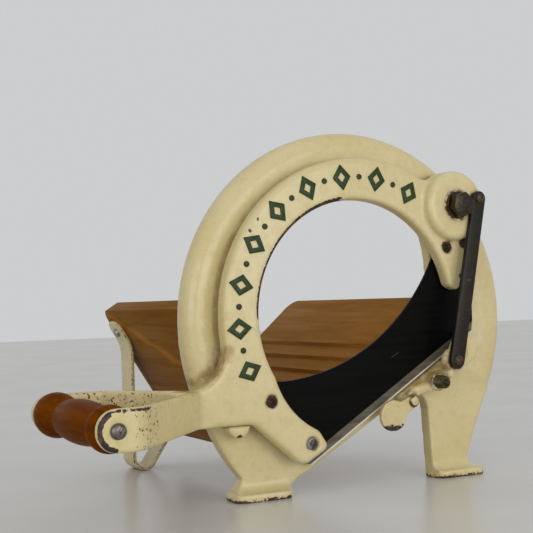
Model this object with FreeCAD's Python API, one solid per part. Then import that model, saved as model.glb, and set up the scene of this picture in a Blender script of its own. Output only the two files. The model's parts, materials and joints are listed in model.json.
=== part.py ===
import FreeCAD
import Part
import math
import os

# Household bread slicer with a swinging knife bow, in millimetres.
# Drawing frame: X to the right along the frame plate, Y towards the trough, Z up from the table.
# The bow's front face is Y 0. SHIFT moves everything so that the origin is the box's bottom centre.

Vector = FreeCAD.Vector

# Knife bow: a C-shaped casting around a round opening
HOLE_R = 87.0
HOLE_Z = 135.5
BOW_BAND = 33.6            # outer radius less the opening's radius
BOW_OFFSET = (4.0, -1.1)   # outer circle's centre from the opening's centre
BOW_T = 12.0
BOW_EDGE_R = 3.5           # rounding of the bow's front edges
BOSS_R = 28.0
BOSS_RISE = 7.0            # boss face in front of the bow's face
BOSS_EDGE_R = 5.0
BOSS_FILLET = 15.0         # outer edge into the boss
BOSS_SIDE = 45.0           # angles on the boss, of its outline's middle and end
BOSS_END = -8.0
CROWN = 120.0              # angle of a point on the bow's outer circle
LIMB_TIP_R = 4.5
PIVOT_ANGLE = 42.85        # where the boss sits around the opening
PIVOT_OUT = 35.8           # and how far outside its edge
ARM_Z = 71.0
ARM_H = 27.0
ARM_FILLET = 29.0
LIMB_FILLET = 12.0
# Corners of the two limbs that hold the blade: angle around the opening, distance outside its edge
UPPER_LIMB = [(24.2, 33.6), (14.95, 19.6), (8.9, 8.8), (13.0, 0.0)]
LOWER_LIMB_FROM = 211.0
LOWER_LIMB_MID = (229.0, 5.6)
LOWER_LIMB = [(245.8, 7.6), (253.2, 17.0), (245.35, 34.8), (242.1, 35.9)]
LIMB_BACK = (218.4, 35.1)

# Fork handle: two flat arms that leave the bow's arm and hold the grip between them
FORK_T = 6.0
GRIP_X = -226.0
NEAR_ARM_Y = -78.0         # outer face of the near arm
FAR_ARM_Y = 66.0
ROOT_X = -150.0            # left end of the bow's arm, where the fork divides
FORK_BEND_R = 12.0
FORK_SPREAD = 47.0         # angle of the arms' slanting stretch to the bow

# Grip and its rod
GRIP_D = 32.0              # at its widest, in the far bead
GRIP_FAR_D = 31.5
GRIP_NEAR_D = 30.2
GRIP_BELLY_D = 29.6
GRIP_NECK_D = 22.0
GRIP_END_D = 25.0
NEAR_BEAD = (8.5, 19.0)    # distances from the grip's end, of the bead's middle and its neck
FAR_BEAD = (11.5, 33.0)
GRIP_END_GAP = 0.5
ROD_R = 3.5
ROD_HEAD_R = 5.0
ROD_HEAD_T = 3.2
ROD_NUT_AF = 11.0
ROD_NUT_T = 5.0
ROD_TAIL = 2.0

# Blade: a flat knife with a hollow back edge, seen square to its cutting edge
BLADE_T = 2.0
BLADE_ANGLE = 31.2
EDGE_IN = 10.4             # cutting edge's distance inside the opening's edge
BEVEL_W = 8.0
EDGE_T = 0.5
BLADE_W = 73.6             # cutting edge to the ends of the hollow back
BACK_SAG = 27.0
BACK_HALF_L = 90.0
# Blade corners: along the cutting edge from its middle, and square to it
BLADE_RIGHT = [(89.4, 0.0), (102.5, 20.9), (119.5, 62.0), (104.6, 81.6)]
BLADE_LEFT = [(-104.0, 74.6), (-116.5, 58.0), (-103.5, 14.0), (-92.5, 0.0)]
BLADE_SCREW_R = 2.5
BLADE_SCREW_HEAD_R = 5.0
BLADE_SCREW_CONE = 2.6
SCREW_SLOT_W = 1.2
SCREW_SLOT_T = 1.0
BLADE_SCREWS = [(218.1, 13.9), (244.3, 19.2), (31.0, 10.8), (28.4, 27.8)]   # angle, distance out
TIP_RIVET = (15.5, 14.5)
TIP_RIVET_R = 2.0

# Frame casting
BLADE_GAP = 2.0            # blade to the ring's bead
BEAD_RISE = 3.0
WEB_T = 8.0
RIM_SHOW = 25.4            # ring's radius beyond the bow's
RING_OFFSET = (6.5, -4.3)
BEAD_W = 33.0
RIM_EDGE_R = 7.0
RIM_DEPTH = 6.5            # rim turned back behind the web
RIM_WALL = 5.0
BEAD_FROM = -25.0
BEAD_TO = 207.0
LEG_DEPTH = 4.0            # legs are that much thicker than the web, at the back
LEG_BOARD_GAP = 3.0        # and clear of the boards
RIGHT_LEG_FROM = 60.0
WINDOW_MARGIN = 11.0
WINDOW_SIDE_R = 87.5       # window's right side
WINDOW_SIDE = (-8.0, 32.5) # and its centre from the opening's centre
WINDOW_SIDE_MID = 15.0     # angles of its middle and its end
WINDOW_SIDE_END = 60.0
FOOT_T = 6.0
FOOT_FRONT = 9.0
FOOT_CORNER_R = 8.0
FOOT_BLEND_R = 7.0
LEFT_FOOT = (-104.5, -56.0)
RIGHT_FOOT = (77.5, 124.5)
LEFT_WAIST_Z = 16.5
RIGHT_WAIST_Z = 15.0
LEFT_WAIST = (-95.5, -42.0)
RIGHT_WAIST = (74.0, 112.2)
LEFT_LEG_BULGE = (-14.6, 19.5)   # outer edge halfway up, from the waist
RIGHT_LEG_BULGE = (13.3, 28.5)
TOE_HOLLOW = (2.5, -5.5)         # hollow between waist and toe, from the waist
TOE_START = 4.0                  # and its end, from the toe's tip
CHORD_FROM = -38.0
CHORD_DROP = (6.0, 4.5)
CHORD_ANGLE = 29.4
CHORD_Z = 38.8             # chord's lower edge where it crosses the opening's centre line
LEG_ARCH_R = 16.0
LEG_ARCH_MID = (5.5, 4.5)
STOP_X = -104.0
STOP_R = 9.0
STOP_REACH = 4.0           # how near the stop lug comes to the bow's front face
REST_GAP = 0.3

# Boss on the frame's lower right, which carries the link
ANCHOR_ANGLE = -25.7
ANCHOR_OUT = 4.6
ANCHOR_R = 9.5             # boss around the lower pin
ANCHOR_T = 7.0
ANCHOR_END_R = 11.6        # and its ear beyond the link
ANCHOR_TAIL = (13.0, 10.5)
EAR_SIDE = (-0.3, -2.0)    # where the ear's flat left side starts, from the pin
EAR_SIDE_ANGLE = 59.0
RIB_GAP = 1.6              # rib to the cutting edge
RIB_DROP = 9.5
RIB_BEVEL = 5.0            # upper side slopes away from the blade
RIB_THIN = 9.0             # its height where it starts
RIB_END = 1.2              # its upper end past the ear's middle
RIB_TIP = (6.2, -4.5)      # its rounded tip
RIB_LOW_END = 1.2
RIB_START = 0.0
RIB_LOW_Y = 7.0
RIB_RAMP = 12.0            # length in which the rib rises to the boss
RAMP_GAP = 1.0             # guide tab's eye to the foot of that rise
BEHIND_GAP = 1.0           # back of the boss to the blade

# Link and its pins
LINK_W = 12.0
LINK_LOW_W = 13.2
LINK_T = 4.0
LINK_END_UP = 6.0
LINK_END_DOWN = 7.2
FACE_GAP = 0.3             # between faces that slide past each other
RUNNING_GAP = 0.05
PIN_R = 2.8
PIN_HEAD_R = 4.1
PIN_HEAD_T = 1.6
PIN_DEPTH = 9.0
UPPER_PIN = (19.5, 5.5)    # from the pivot bolt
BOW_OPEN = 53.0            # bow against link, degrees
LINK_RATIO = -5.0 / 53.0

# Pivot bolt, which slides in a curved slot of the ring
BOLT_R = 5.0
BOLT_AF = 18.0
BOLT_HEAD_T = 8.0
WASHER_R = 11.0
WASHER_T = 1.0
SPACER_R = 10.0
SLOT_GAP = 0.7
REAR_WASHER_R = 10.5
REAR_WASHER_T = 2.0
NUT_T = 8.0
BOLT_TAIL = 2.5

# Guide tab and gauge screw on the rib
TAB_PIN = (49.2, 64.8)
TAB_R = 13.0
TAB_EYE_R = 7.0
TAB_T = 3.5
TAB_REACH = (-19.4, -10.0)
TAB_PIN_R = 2.5
TAB_PIN_HEAD_R = 4.0
TAB_PIN_HEAD_T = 1.6
TAB_PIN_DEPTH = 6.0
GAUGE_AT = (70.6, 78.9)
GAUGE_R = 5.0
GAUGE_TIP = -10.0
GAUGE_OUT = 8.0            # out of its collar
COLLAR_R = 7.5
GAUGE_SLOT_W = 1.4
GAUGE_DEPTH = 12.0

# Trough: two boards in a V
TROUGH_L = 203.0
BOARD_T = 13.0
VERTEX_ANGLE = 242.0
VERTEX_OUT = 18.0
RIGHT_SLOPE = 41.0
RIGHT_L = 157.7
LEFT_SLOPE = 122.1
LEFT_L = 125.7
BOARD_CORNER_R = 12.0
TOOTH_START = 5.7          # first step's distance from the V
TOOTH_PITCH = 16.0
TOOTH_DEPTH = 3.0
TOOTH_COUNT = 6
TROUGH_SCREW_R = 2.5
TROUGH_SCREW_HEAD_R = 4.5
TROUGH_SCREW_L = 28.0
LEFT_SCREWS = (32.0, 76.0)      # along each board from the V
RIGHT_SCREWS = (50.0, 105.0)
SEAM_SCREWS = (40.0, 101.5, 163.0)   # along the trough, through the right board into the left
SEAM_SCREW_L = 26.0
SEAM_SCREW_R = 2.0
SEAM_HEAD_R = 4.0

# Rear leg: a bent steel band under the trough's far end
BAND_W = 26.0
BAND_T = 3.0
BAND_INSET = 1.0
BAND_TOP = 115.0           # along the left board from the V
BAND_LEAVES = 99.9
BAND_BEND_R = 38.0
BAND_END_R = 10.0          # its rounded ends
LEG_BEND_R = 9.8
LEG_RISE = 56.0
BAND_LOW_BEND_R = 6.0
BAND_LOW_TAB = 18.0
LEG_SCREW_INSET = 11.0
LEG_SCREW_R = 2.0
LEG_SCREW_HEAD_R = 4.0
LEG_SCREW_HEAD_T = 2.6
LEG_SCREW_L = 9.0


def around(angle, out):
    """Point (x, z) at an angle around the opening, a distance outside its edge."""
    turn = math.radians(angle)
    radius = HOLE_R + out
    return (radius * math.cos(turn), HOLE_Z + radius * math.sin(turn))


def plus(point, offset):
    return (point[0] + offset[0], point[1] + offset[1])


def along(point, angle, distance, side=0.0):
    """Point reached by going a distance at an angle, then a distance to the left of it."""
    turn = math.radians(angle)
    return (point[0] + distance * math.cos(turn) - side * math.sin(turn),
            point[1] + distance * math.sin(turn) + side * math.cos(turn))


def swing(point, centre, degrees):
    """Turn a point (x, z) about a centre, clockwise as seen from the front."""
    turn = math.radians(degrees)
    dx = point[0] - centre[0]
    dz = point[1] - centre[1]
    return (centre[0] + dx * math.cos(turn) + dz * math.sin(turn),
            centre[1] - dx * math.sin(turn) + dz * math.cos(turn))


# Levels along Y, from the bow's front face
BOW_BACK = BOW_T
BLADE_BACK = BOW_BACK + BLADE_T
BEAD_FRONT = BLADE_BACK + BLADE_GAP
WEB_FRONT = BEAD_FRONT + BEAD_RISE
WEB_BACK = WEB_FRONT + WEB_T
BOSS_FRONT = -BOSS_RISE
LINK_BACK = BOSS_FRONT - FACE_GAP
LINK_FRONT = LINK_BACK - LINK_T
TROUGH_END = WEB_BACK + TROUGH_L

# Places in the plane of the frame
HOLE = (0.0, HOLE_Z)
RING = plus(HOLE, RING_OFFSET)
RING_R = HOLE_R + BOW_BAND + RIM_SHOW
PIVOT = around(PIVOT_ANGLE, PIVOT_OUT)
LINK_TOP = plus(PIVOT, UPPER_PIN)
ANCHOR = around(ANCHOR_ANGLE, ANCHOR_OUT)
VERTEX = around(VERTEX_ANGLE, VERTEX_OUT)
NEAR_END = NEAR_ARM_Y - ROD_HEAD_T
X_LOW = GRIP_X - max(ARM_H, GRIP_D) / 2
X_HIGH = RING[0] + RING_R
SHIFT = Vector(-(X_LOW + X_HIGH) / 2, -(NEAR_END + TROUGH_END) / 2, 0)


def pivot_at(share):
    """Where the pivot bolt is when the bow has opened by a share of its travel."""
    turned = swing(PIVOT, LINK_TOP, share * BOW_OPEN)
    return swing(turned, ANCHOR, share * BOW_OPEN * LINK_RATIO)


def wall(point, y):
    return Vector(point[0], y, point[1])


def path_face(steps, place):
    """Face inside a closed path: each step is a point, or (point on the arc, end point)."""
    edges = []
    start = steps[0]
    here = start
    for step in steps[1:] + [start]:
        if isinstance(step[0], tuple):
            edges.append(Part.Arc(place(here), place(step[0]), place(step[1])).toShape())
        elif math.dist(here, step) > 1e-6:
            edges.append(Part.LineSegment(place(here), place(step)).toShape())
        here = end_of(step)
    return Part.Face(Part.Wire(edges))


def slab(steps, y_from, y_to):
    """Plate between two Y levels with the given outline in X and Z."""
    face = path_face(steps, lambda point: wall(point, y_from))
    return face.extrude(Vector(0, y_to - y_from, 0))


def rod(point, radius, y_from, y_to):
    return Part.makeCylinder(radius, y_to - y_from, wall(point, y_from), Vector(0, 1, 0))


def hexagon(point, across_flats, y_from, y_to, turn):
    corner = across_flats / math.sqrt(3)
    points = [along(point, turn + 60 * side, corner) for side in range(6)]
    return slab(points, y_from, y_to)


def strip_face(start, heading, moves, thickness, place):
    """Band of even thickness: each move is (length, 0) or (bend radius, turn in degrees)."""
    half = thickness / 2
    left = []
    right = []
    here = start
    angle = heading
    corners = [along(here, angle, 0, half), along(here, angle, 0, -half)]
    for size, turn in moves:
        if turn == 0:
            here = along(here, angle, size)
            left.append(along(here, angle, 0, half))
            right.append(along(here, angle, 0, -half))
            continue
        sign = 1 if turn > 0 else -1
        centre = along(here, angle, 0, sign * size)
        for side, edge in ((half, left), (-half, right)):
            radius = size - sign * side
            middle = along(centre, angle + turn / 2, 0, -sign * radius)
            edge.append((middle, along(centre, angle + turn, 0, -sign * radius)))
        here = along(centre, angle + turn, 0, -sign * size)
        angle += turn
    steps = [corners[0]] + left
    steps.append(end_of(right[-1]))
    starts = [corners[1]] + [end_of(step) for step in right]
    for index in range(len(right) - 1, -1, -1):
        step = right[index]
        back_to = starts[index]
        steps.append((step[0], back_to) if isinstance(step[0], tuple) else back_to)
    return path_face(steps, place), here, angle


def end_of(step):
    return step[1] if isinstance(step[0], tuple) else step


def edges_near(shape, points, y_low, y_high, reach):
    """Edges that run along Y within reach of one of the points."""
    found = []
    for edge in shape.Edges:
        box = edge.BoundBox
        if box.XLength > 0.01 or box.ZLength > 0.01 or box.YLength < (y_high - y_low) * 0.9:
            continue
        for point in points:
            if math.hypot(box.XMin - point[0], box.ZMin - point[1]) < reach:
                found.append(edge)
    return found


def edges_on_front(shape, y):
    return [edge for edge in shape.Edges
            if abs(edge.BoundBox.YMin - y) < 0.01 and abs(edge.BoundBox.YMax - y) < 0.01]


def screw(point, y, radius, head_r, cone, length, slot_turn):
    """Countersunk slotted screw along Y with its face at y."""
    head = Part.makeCone(head_r, radius, cone, wall(point, y), Vector(0, 1, 0))
    body = head.fuse(rod(point, radius, y, y + length))
    ends = [along(point, slot_turn, reach, side) for reach, side in
            ((-head_r, -SCREW_SLOT_W / 2), (head_r, -SCREW_SLOT_W / 2),
             (head_r, SCREW_SLOT_W / 2), (-head_r, SCREW_SLOT_W / 2))]
    return body.cut(slab(ends, y, y + SCREW_SLOT_T))


def screw_hole(point, y, radius, head_r, cone, length):
    head = Part.makeCone(head_r + RUNNING_GAP, radius + RUNNING_GAP, cone, wall(point, y), Vector(0, 1, 0))
    return head.fuse(rod(point, radius + RUNNING_GAP, y, y + length))


# Knife bow -----------------------------------------------------------------

def bow_centre():
    return plus(HOLE, BOW_OFFSET)


def meets_arm():
    """Where the outer circle runs into the top of the arm."""
    centre = bow_centre()
    rise = ARM_Z + ARM_H / 2 - centre[1]
    return (centre[0] - math.sqrt((HOLE_R + BOW_BAND) ** 2 - rise ** 2), ARM_Z + ARM_H / 2)


def crease():
    """Where the lower limb's back runs into the underside of the arm."""
    corner, tip = around(*LIMB_BACK), around(*LOWER_LIMB[-1])
    low = ARM_Z - ARM_H / 2
    return (corner[0] + (low - corner[1]) * (tip[0] - corner[0]) / (tip[1] - corner[1]), low)


def meets_boss():
    """Where the outer circle runs into the boss around the pivot bolt."""
    centre = bow_centre()
    outer = HOLE_R + BOW_BAND
    away = math.dist(centre, PIVOT)
    heading = math.degrees(math.atan2(PIVOT[1] - centre[1], PIVOT[0] - centre[0]))
    turn = math.degrees(math.acos((outer ** 2 + away ** 2 - BOSS_R ** 2) / (2 * outer * away)))
    return along(centre, heading + turn, outer)


def bow_outline():
    """The C with its boss and arm."""
    opening_end = UPPER_LIMB[-1][0]
    steps = [(ROOT_X, ARM_Z - ARM_H / 2), (ROOT_X, ARM_Z + ARM_H / 2), meets_arm()]
    steps.append((along(bow_centre(), CROWN, HOLE_R + BOW_BAND), meets_boss()))
    steps.append((along(PIVOT, BOSS_SIDE, BOSS_R), along(PIVOT, BOSS_END, BOSS_R)))
    steps += [around(*place) for place in UPPER_LIMB]
    steps.append((around((opening_end + LOWER_LIMB_FROM) / 2, 0), around(LOWER_LIMB_FROM, 0)))
    steps.append((around(*LOWER_LIMB_MID), around(*LOWER_LIMB[0])))
    steps += [around(*place) for place in LOWER_LIMB[1:]]
    return steps + [crease()]


def fork():
    """Both arms, bent in plan and extruded to the arm's height."""
    low = ARM_Z - ARM_H / 2
    spread = math.radians(FORK_SPREAD)
    arms = []
    for y, meets, sign in ((NEAR_ARM_Y + FORK_T / 2, FORK_T / 2, 1),
                           (FAR_ARM_Y - FORK_T / 2, BOW_T - FORK_T / 2, -1)):
        bend_rise = FORK_BEND_R * (1 - math.cos(spread))
        slant = (abs(meets - y) - bend_rise) / math.sin(spread)
        reach = FORK_BEND_R * math.sin(spread) + slant * math.cos(spread)
        straight = ROOT_X + BOW_T - GRIP_X - reach
        moves = [(straight, 0), (FORK_BEND_R, sign * FORK_SPREAD), (slant, 0)]
        face = strip_face((GRIP_X, y), 0, moves, FORK_T, lambda point: Vector(point[0], point[1], low))[0]
        arms.append(face.extrude(Vector(0, 0, ARM_H)))
        arms.append(rod((GRIP_X, ARM_Z), ARM_H / 2, y - FORK_T / 2, y + FORK_T / 2))
    crotch = ROOT_X - BOW_T / 2
    arms.append(Part.makeBox(ARM_FILLET, BOW_T, ARM_H, Vector(crotch, 0, low)))
    return arms


def knife_bow():
    body = slab(bow_outline(), 0, BOW_BACK)
    body = body.makeFillet(ARM_FILLET, edges_near(body, [meets_arm()], 0, BOW_BACK, 1.0))
    body = body.makeFillet(BOSS_FILLET, edges_near(body, [meets_boss()], 0, BOW_BACK, 1.0))
    body = body.makeFillet(LIMB_FILLET, edges_near(body, [crease()], 0, BOW_BACK, 1.0))
    corners = [around(*place) for place in UPPER_LIMB[2:] + LOWER_LIMB]
    body = body.makeFillet(LIMB_TIP_R, edges_near(body, corners, 0, BOW_BACK, 0.5))
    front = edges_on_front(body, 0)
    body = body.makeFillet(BOW_EDGE_R, [edge for edge in front if edge.BoundBox.XMax > ROOT_X + 0.1])
    boss = rod(PIVOT, BOSS_R, BOSS_FRONT, BOW_BACK)
    boss = boss.makeFillet(BOSS_EDGE_R, edges_on_front(boss, BOSS_FRONT))
    body = body.fuse([boss] + fork())
    holes = [rod(PIVOT, BOLT_R + RUNNING_GAP, BOSS_FRONT, BOW_BACK),
             rod(LINK_TOP, PIN_R, BOSS_FRONT, LINK_FRONT + PIN_DEPTH + LINK_T)]
    holes += [screw_hole(around(*place), 0, BLADE_SCREW_R, BLADE_SCREW_HEAD_R, BLADE_SCREW_CONE, BOW_BACK)
              for place in BLADE_SCREWS]
    holes.append(rod(around(*TIP_RIVET), TIP_RIVET_R, 0, BOW_BACK))
    holes.append(rod((GRIP_X, ARM_Z), ROD_R, NEAR_ARM_Y, FAR_ARM_Y))
    return body.cut(holes).removeSplitter()


def blade_point(u, w):
    """Point in the blade's own directions: u along the cutting edge, w across it."""
    return along(HOLE, BLADE_ANGLE, u, w)


def edge_w():
    return EDGE_IN - HOLE_R


def knife_blade():
    edge = edge_w()
    back = edge + BLADE_W
    steps = [blade_point(u, edge + across) for u, across in BLADE_RIGHT]
    steps.append(blade_point(BACK_HALF_L, back))
    steps.append((blade_point(0, back - BACK_SAG), blade_point(-BACK_HALF_L, back)))
    steps += [blade_point(u, edge + across) for u, across in BLADE_LEFT]
    plate = slab(steps, BOW_BACK, BLADE_BACK)
    thin = BLADE_T - EDGE_T
    plate = plate.cut(along_edge([(edge, BOW_BACK), (edge + BEVEL_W, BOW_BACK), (edge, BOW_BACK + thin)]))
    holes = [rod(around(*place), BLADE_SCREW_R + RUNNING_GAP, BOW_BACK, BLADE_BACK) for place in BLADE_SCREWS]
    holes.append(rod(around(*TIP_RIVET), TIP_RIVET_R, BOW_BACK, BLADE_BACK))
    return plate.cut(holes)


def blade_screws():
    turns = (40, 62, 15, 75)
    return [screw(around(*place), 0.2, BLADE_SCREW_R, BLADE_SCREW_HEAD_R - 0.2, BLADE_SCREW_CONE - 0.2,
                  BLADE_BACK - 0.2, turn) for place, turn in zip(BLADE_SCREWS, turns)]


def tip_rivet():
    return rod(around(*TIP_RIVET), TIP_RIVET_R, 0, BLADE_BACK)


# Pivot ---------------------------------------------------------------------

def pivot_bolt():
    head_back = BOSS_FRONT - WASHER_T
    head = hexagon(PIVOT, BOLT_AF, head_back - BOLT_HEAD_T, head_back, link_heading())
    tail = WEB_BACK + FACE_GAP + REAR_WASHER_T + NUT_T + BOLT_TAIL
    return head.fuse(rod(PIVOT, BOLT_R, head_back - 0.5, tail))


def pivot_washer():
    ring = rod(PIVOT, WASHER_R, BOSS_FRONT - WASHER_T, BOSS_FRONT)
    return ring.cut([rod(PIVOT, BOLT_R, BOSS_FRONT - WASHER_T, BOSS_FRONT), link_way()])


def link_way():
    """The link's side, which the front washer is ground back from."""
    heading = link_heading()
    reach = LINK_W / 2 + 3 * FACE_GAP
    length = 2 * math.dist(ANCHOR, LINK_TOP)
    steps = [along(ANCHOR, heading, 0, reach), along(ANCHOR, heading, length, reach),
             along(ANCHOR, heading, length, -reach), along(ANCHOR, heading, 0, -reach)]
    return slab(steps, BOSS_FRONT - WASHER_T, BOSS_FRONT)


def pivot_spacer():
    """Thick washer between the boss and the ring."""
    tube = rod(PIVOT, SPACER_R, BOW_BACK, BEAD_FRONT - FACE_GAP)
    return tube.cut(rod(PIVOT, BOLT_R, BOW_BACK, BEAD_FRONT - FACE_GAP))


def rear_washer():
    front = WEB_BACK + FACE_GAP
    ring = rod(PIVOT, REAR_WASHER_R, front, front + REAR_WASHER_T)
    return ring.cut(rod(PIVOT, BOLT_R, front, front + REAR_WASHER_T))


def pivot_nut():
    front = WEB_BACK + FACE_GAP + REAR_WASHER_T
    return hexagon(PIVOT, BOLT_AF, front, front + NUT_T, 0).cut(rod(PIVOT, BOLT_R, front, front + NUT_T))


def slot_cutter():
    """Curved slot that follows the bolt's path."""
    first, middle, last = (pivot_at(share) for share in (0.0, 0.5, 1.0))
    arc = Part.Arc(wall(first, 0), wall(middle, 0), wall(last, 0))
    circle = Part.Circle(wall(first, 0), wall(middle, 0), wall(last, 0))
    centre = (circle.Center.x, circle.Center.z)
    reach = BOLT_R + SLOT_GAP
    worst = 0.0
    for index in range(21):
        point = pivot_at(index / 20)
        worst = max(worst, abs(math.dist(point, centre) - circle.Radius))
    print("slot radius %.1f, bolt leaves its arc by %.3f" % (circle.Radius, worst))

    def shifted(point, distance):
        away = math.dist(point, centre)
        return (point[0] + (point[0] - centre[0]) * distance / away,
                point[1] + (point[1] - centre[1]) * distance / away)

    outer = [shifted(point, reach) for point in (first, middle, last)]
    inner = [shifted(point, -reach) for point in (first, middle, last)]
    steps = [outer[0], (outer[1], outer[2]), inner[2], (inner[1], inner[0])]
    low, high = BEAD_FRONT - 1, WEB_BACK + 1
    ends = [rod(first, reach, low, high), rod(last, reach, low, high)]
    return slab(steps, low, high).fuse(ends)


# Link ----------------------------------------------------------------------

def link_heading():
    return math.degrees(math.atan2(LINK_TOP[1] - ANCHOR[1], LINK_TOP[0] - ANCHOR[0]))


def link_bar():
    heading = link_heading()
    top_left, top_right = (along(LINK_TOP, heading, 0, side * LINK_W / 2) for side in (1, -1))
    low_left, low_right = (along(ANCHOR, heading, 0, side * LINK_LOW_W / 2) for side in (1, -1))
    steps = [low_left, top_left, (along(LINK_TOP, heading, LINK_END_UP), top_right), low_right,
             (along(ANCHOR, heading, -LINK_END_DOWN), low_left)]
    bar = slab(steps, LINK_FRONT, LINK_BACK)
    return bar.cut([rod(end, PIN_R + RUNNING_GAP, LINK_FRONT, LINK_BACK) for end in (LINK_TOP, ANCHOR)])


def link_pin(point):
    head = rod(point, PIN_HEAD_R, LINK_FRONT - FACE_GAP - PIN_HEAD_T, LINK_FRONT - FACE_GAP)
    head = head.makeFillet(PIN_HEAD_T * 0.6, edges_on_front(head, LINK_FRONT - FACE_GAP - PIN_HEAD_T))
    return head.fuse(rod(point, PIN_R, LINK_FRONT - FACE_GAP - 0.2, LINK_FRONT + PIN_DEPTH + LINK_T))


# Frame casting -------------------------------------------------------------

def chord_at(x):
    return CHORD_Z + (x - HOLE[0]) * math.tan(math.radians(CHORD_ANGLE))


def frame_outline():
    left_leaves = along(RING, BEAD_TO, RING_R)
    right_leaves = along(RING, BEAD_FROM, RING_R)
    left_waist = (LEFT_WAIST[0], LEFT_WAIST_Z)
    right_waist = (RIGHT_WAIST[1], RIGHT_WAIST_Z)
    left_hollow = (left_waist[0] - TOE_HOLLOW[0], left_waist[1] + TOE_HOLLOW[1])
    chord_left = (CHORD_FROM, chord_at(CHORD_FROM))
    chord_low = (LEFT_WAIST[1] - CHORD_DROP[0], chord_left[1] - CHORD_DROP[1])
    arch = (RIGHT_WAIST[0] - LEG_ARCH_R, chord_at(RIGHT_WAIST[0] - LEG_ARCH_R))
    arch_mid = (RIGHT_WAIST[0] - LEG_ARCH_MID[0], arch[1] - LEG_ARCH_MID[1])
    return [
        (LEFT_FOOT[0], 0), (LEFT_FOOT[0], FOOT_T), (left_hollow, left_waist),
        (plus(left_waist, LEFT_LEG_BULGE), left_leaves),
        (along(RING, 90, RING_R), along(RING, 0, RING_R)),
        (along(RING, BEAD_FROM / 2, RING_R), right_leaves),
        (plus(right_waist, RIGHT_LEG_BULGE), right_waist),
        (plus(right_waist, TOE_HOLLOW), (RIGHT_FOOT[1] - TOE_START, FOOT_T)),
        (RIGHT_FOOT[1], FOOT_T), (RIGHT_FOOT[1], 0), (RIGHT_FOOT[0], 0),
        (RIGHT_WAIST[0], arch[1] - LEG_ARCH_R), (arch_mid, arch),
        chord_left, chord_low, (LEFT_FOOT[1], FOOT_T), (LEFT_FOOT[1], 0)]


def ring_bead():
    """Convex bead around the ring's front, with the rounded rim."""
    peak = RING_R - BEAD_W * 0.45
    profile = [
        (RING_R - BEAD_W, WEB_FRONT + 1), (RING_R - BEAD_W, WEB_FRONT),
        ((RING_R - BEAD_W * 0.78, WEB_FRONT - BEAD_RISE * 0.55), (peak, BEAD_FRONT)),
        ((RING_R - RIM_EDGE_R * 0.62, BEAD_FRONT + BEAD_RISE * 0.8), (RING_R, WEB_FRONT + RIM_EDGE_R * 0.8)),
        (RING_R - RIM_EDGE_R, WEB_FRONT + RIM_EDGE_R * 0.8)]
    return ring_sweep(profile)


def ring_sweep(profile):
    """Profile (radius, y) swept around the ring as far as the bead goes."""
    face = path_face(profile, lambda point: Vector(point[0], point[1], 0))
    body = face.revolve(Vector(0, 0, 0), Vector(0, 1, 0), BEAD_FROM - BEAD_TO)
    body.rotate(Vector(0, 0, 0), Vector(0, 1, 0), -BEAD_FROM)
    body.translate(wall(RING, 0))
    return body


def rim_flange():
    """Rim turned back behind the web, with its back edge rounded."""
    inner = RING_R - RIM_WALL
    back = WEB_BACK + RIM_DEPTH
    round_r = RIM_WALL / 2
    return ring_sweep([(inner, WEB_BACK - 1), (RING_R, WEB_BACK - 1), (RING_R, back - round_r),
                       ((RING_R - round_r, back), (inner, back - round_r))])


def window_cutter():
    """V of the trough's faces, closed above by arcs."""
    disc = rod(along(HOLE, 90, 1.5), HOLE_R + WINDOW_MARGIN, BEAD_FRONT - 1, WEB_BACK + 1)
    side = plus(HOLE, WINDOW_SIDE)
    slope = math.radians(RIGHT_SLOPE)
    dx, dz = VERTEX[0] - side[0], VERTEX[1] - side[1]
    back = dx * math.cos(slope) + dz * math.sin(slope)
    run = -back + math.sqrt(back ** 2 - dx ** 2 - dz ** 2 + WINDOW_SIDE_R ** 2)
    right_low = along(VERTEX, RIGHT_SLOPE, run)
    right_high = along(side, WINDOW_SIDE_END, WINDOW_SIDE_R)
    left_high = along(VERTEX, LEFT_SLOPE, 2 * LEFT_L)
    steps = [VERTEX, right_low, (along(side, WINDOW_SIDE_MID, WINDOW_SIDE_R), right_high),
             (right_high[0], left_high[1]), left_high]
    return disc.common(slab(steps, BEAD_FRONT - 1, WEB_BACK + 1))


def foot(ends):
    """Toe that runs forward from the leg, with rounded front corners and a hollow blend."""
    low, high = ends
    pad = Part.makeBox(high - low, WEB_BACK + LEG_DEPTH - FOOT_FRONT, FOOT_T, Vector(low, FOOT_FRONT, 0))
    corners = [edge for edge in pad.Edges
               if edge.BoundBox.ZLength > FOOT_T * 0.9 and edge.BoundBox.YMax < FOOT_FRONT + 0.1]
    pad = pad.makeFillet(FOOT_CORNER_R, corners)
    blend = Part.makeBox(high - low, FOOT_BLEND_R, FOOT_BLEND_R, Vector(low, WEB_FRONT - FOOT_BLEND_R, FOOT_T))
    hollow = Part.makeCylinder(FOOT_BLEND_R, high - low + 2,
                               Vector(low - 1, WEB_FRONT - FOOT_BLEND_R, FOOT_T + FOOT_BLEND_R), Vector(1, 0, 0))
    leg = slab(frame_outline(), WEB_FRONT - FOOT_BLEND_R, WEB_FRONT)
    return [pad, blend.cut(hollow).common(leg)]


def leg_backs():
    """Thicker backs of both legs, up to where the ring's bead ends and clear of the boards."""
    legs = slab(frame_outline(), WEB_BACK - 1, WEB_BACK + LEG_DEPTH).common(below_bead())
    reach = 2 * RING_R
    gap = BOARD_T + LEG_BOARD_GAP
    left = slab([on_left(-reach, gap), on_left(reach, gap), on_left(reach, reach), on_left(-reach, reach)],
                WEB_BACK - 2, WEB_BACK + LEG_DEPTH + 1)
    right = Part.makeBox(reach, LEG_DEPTH + 3, reach, Vector(RIGHT_LEG_FROM, WEB_BACK - 2, -1))
    return [legs.common(left), legs.common(right)]


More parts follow.
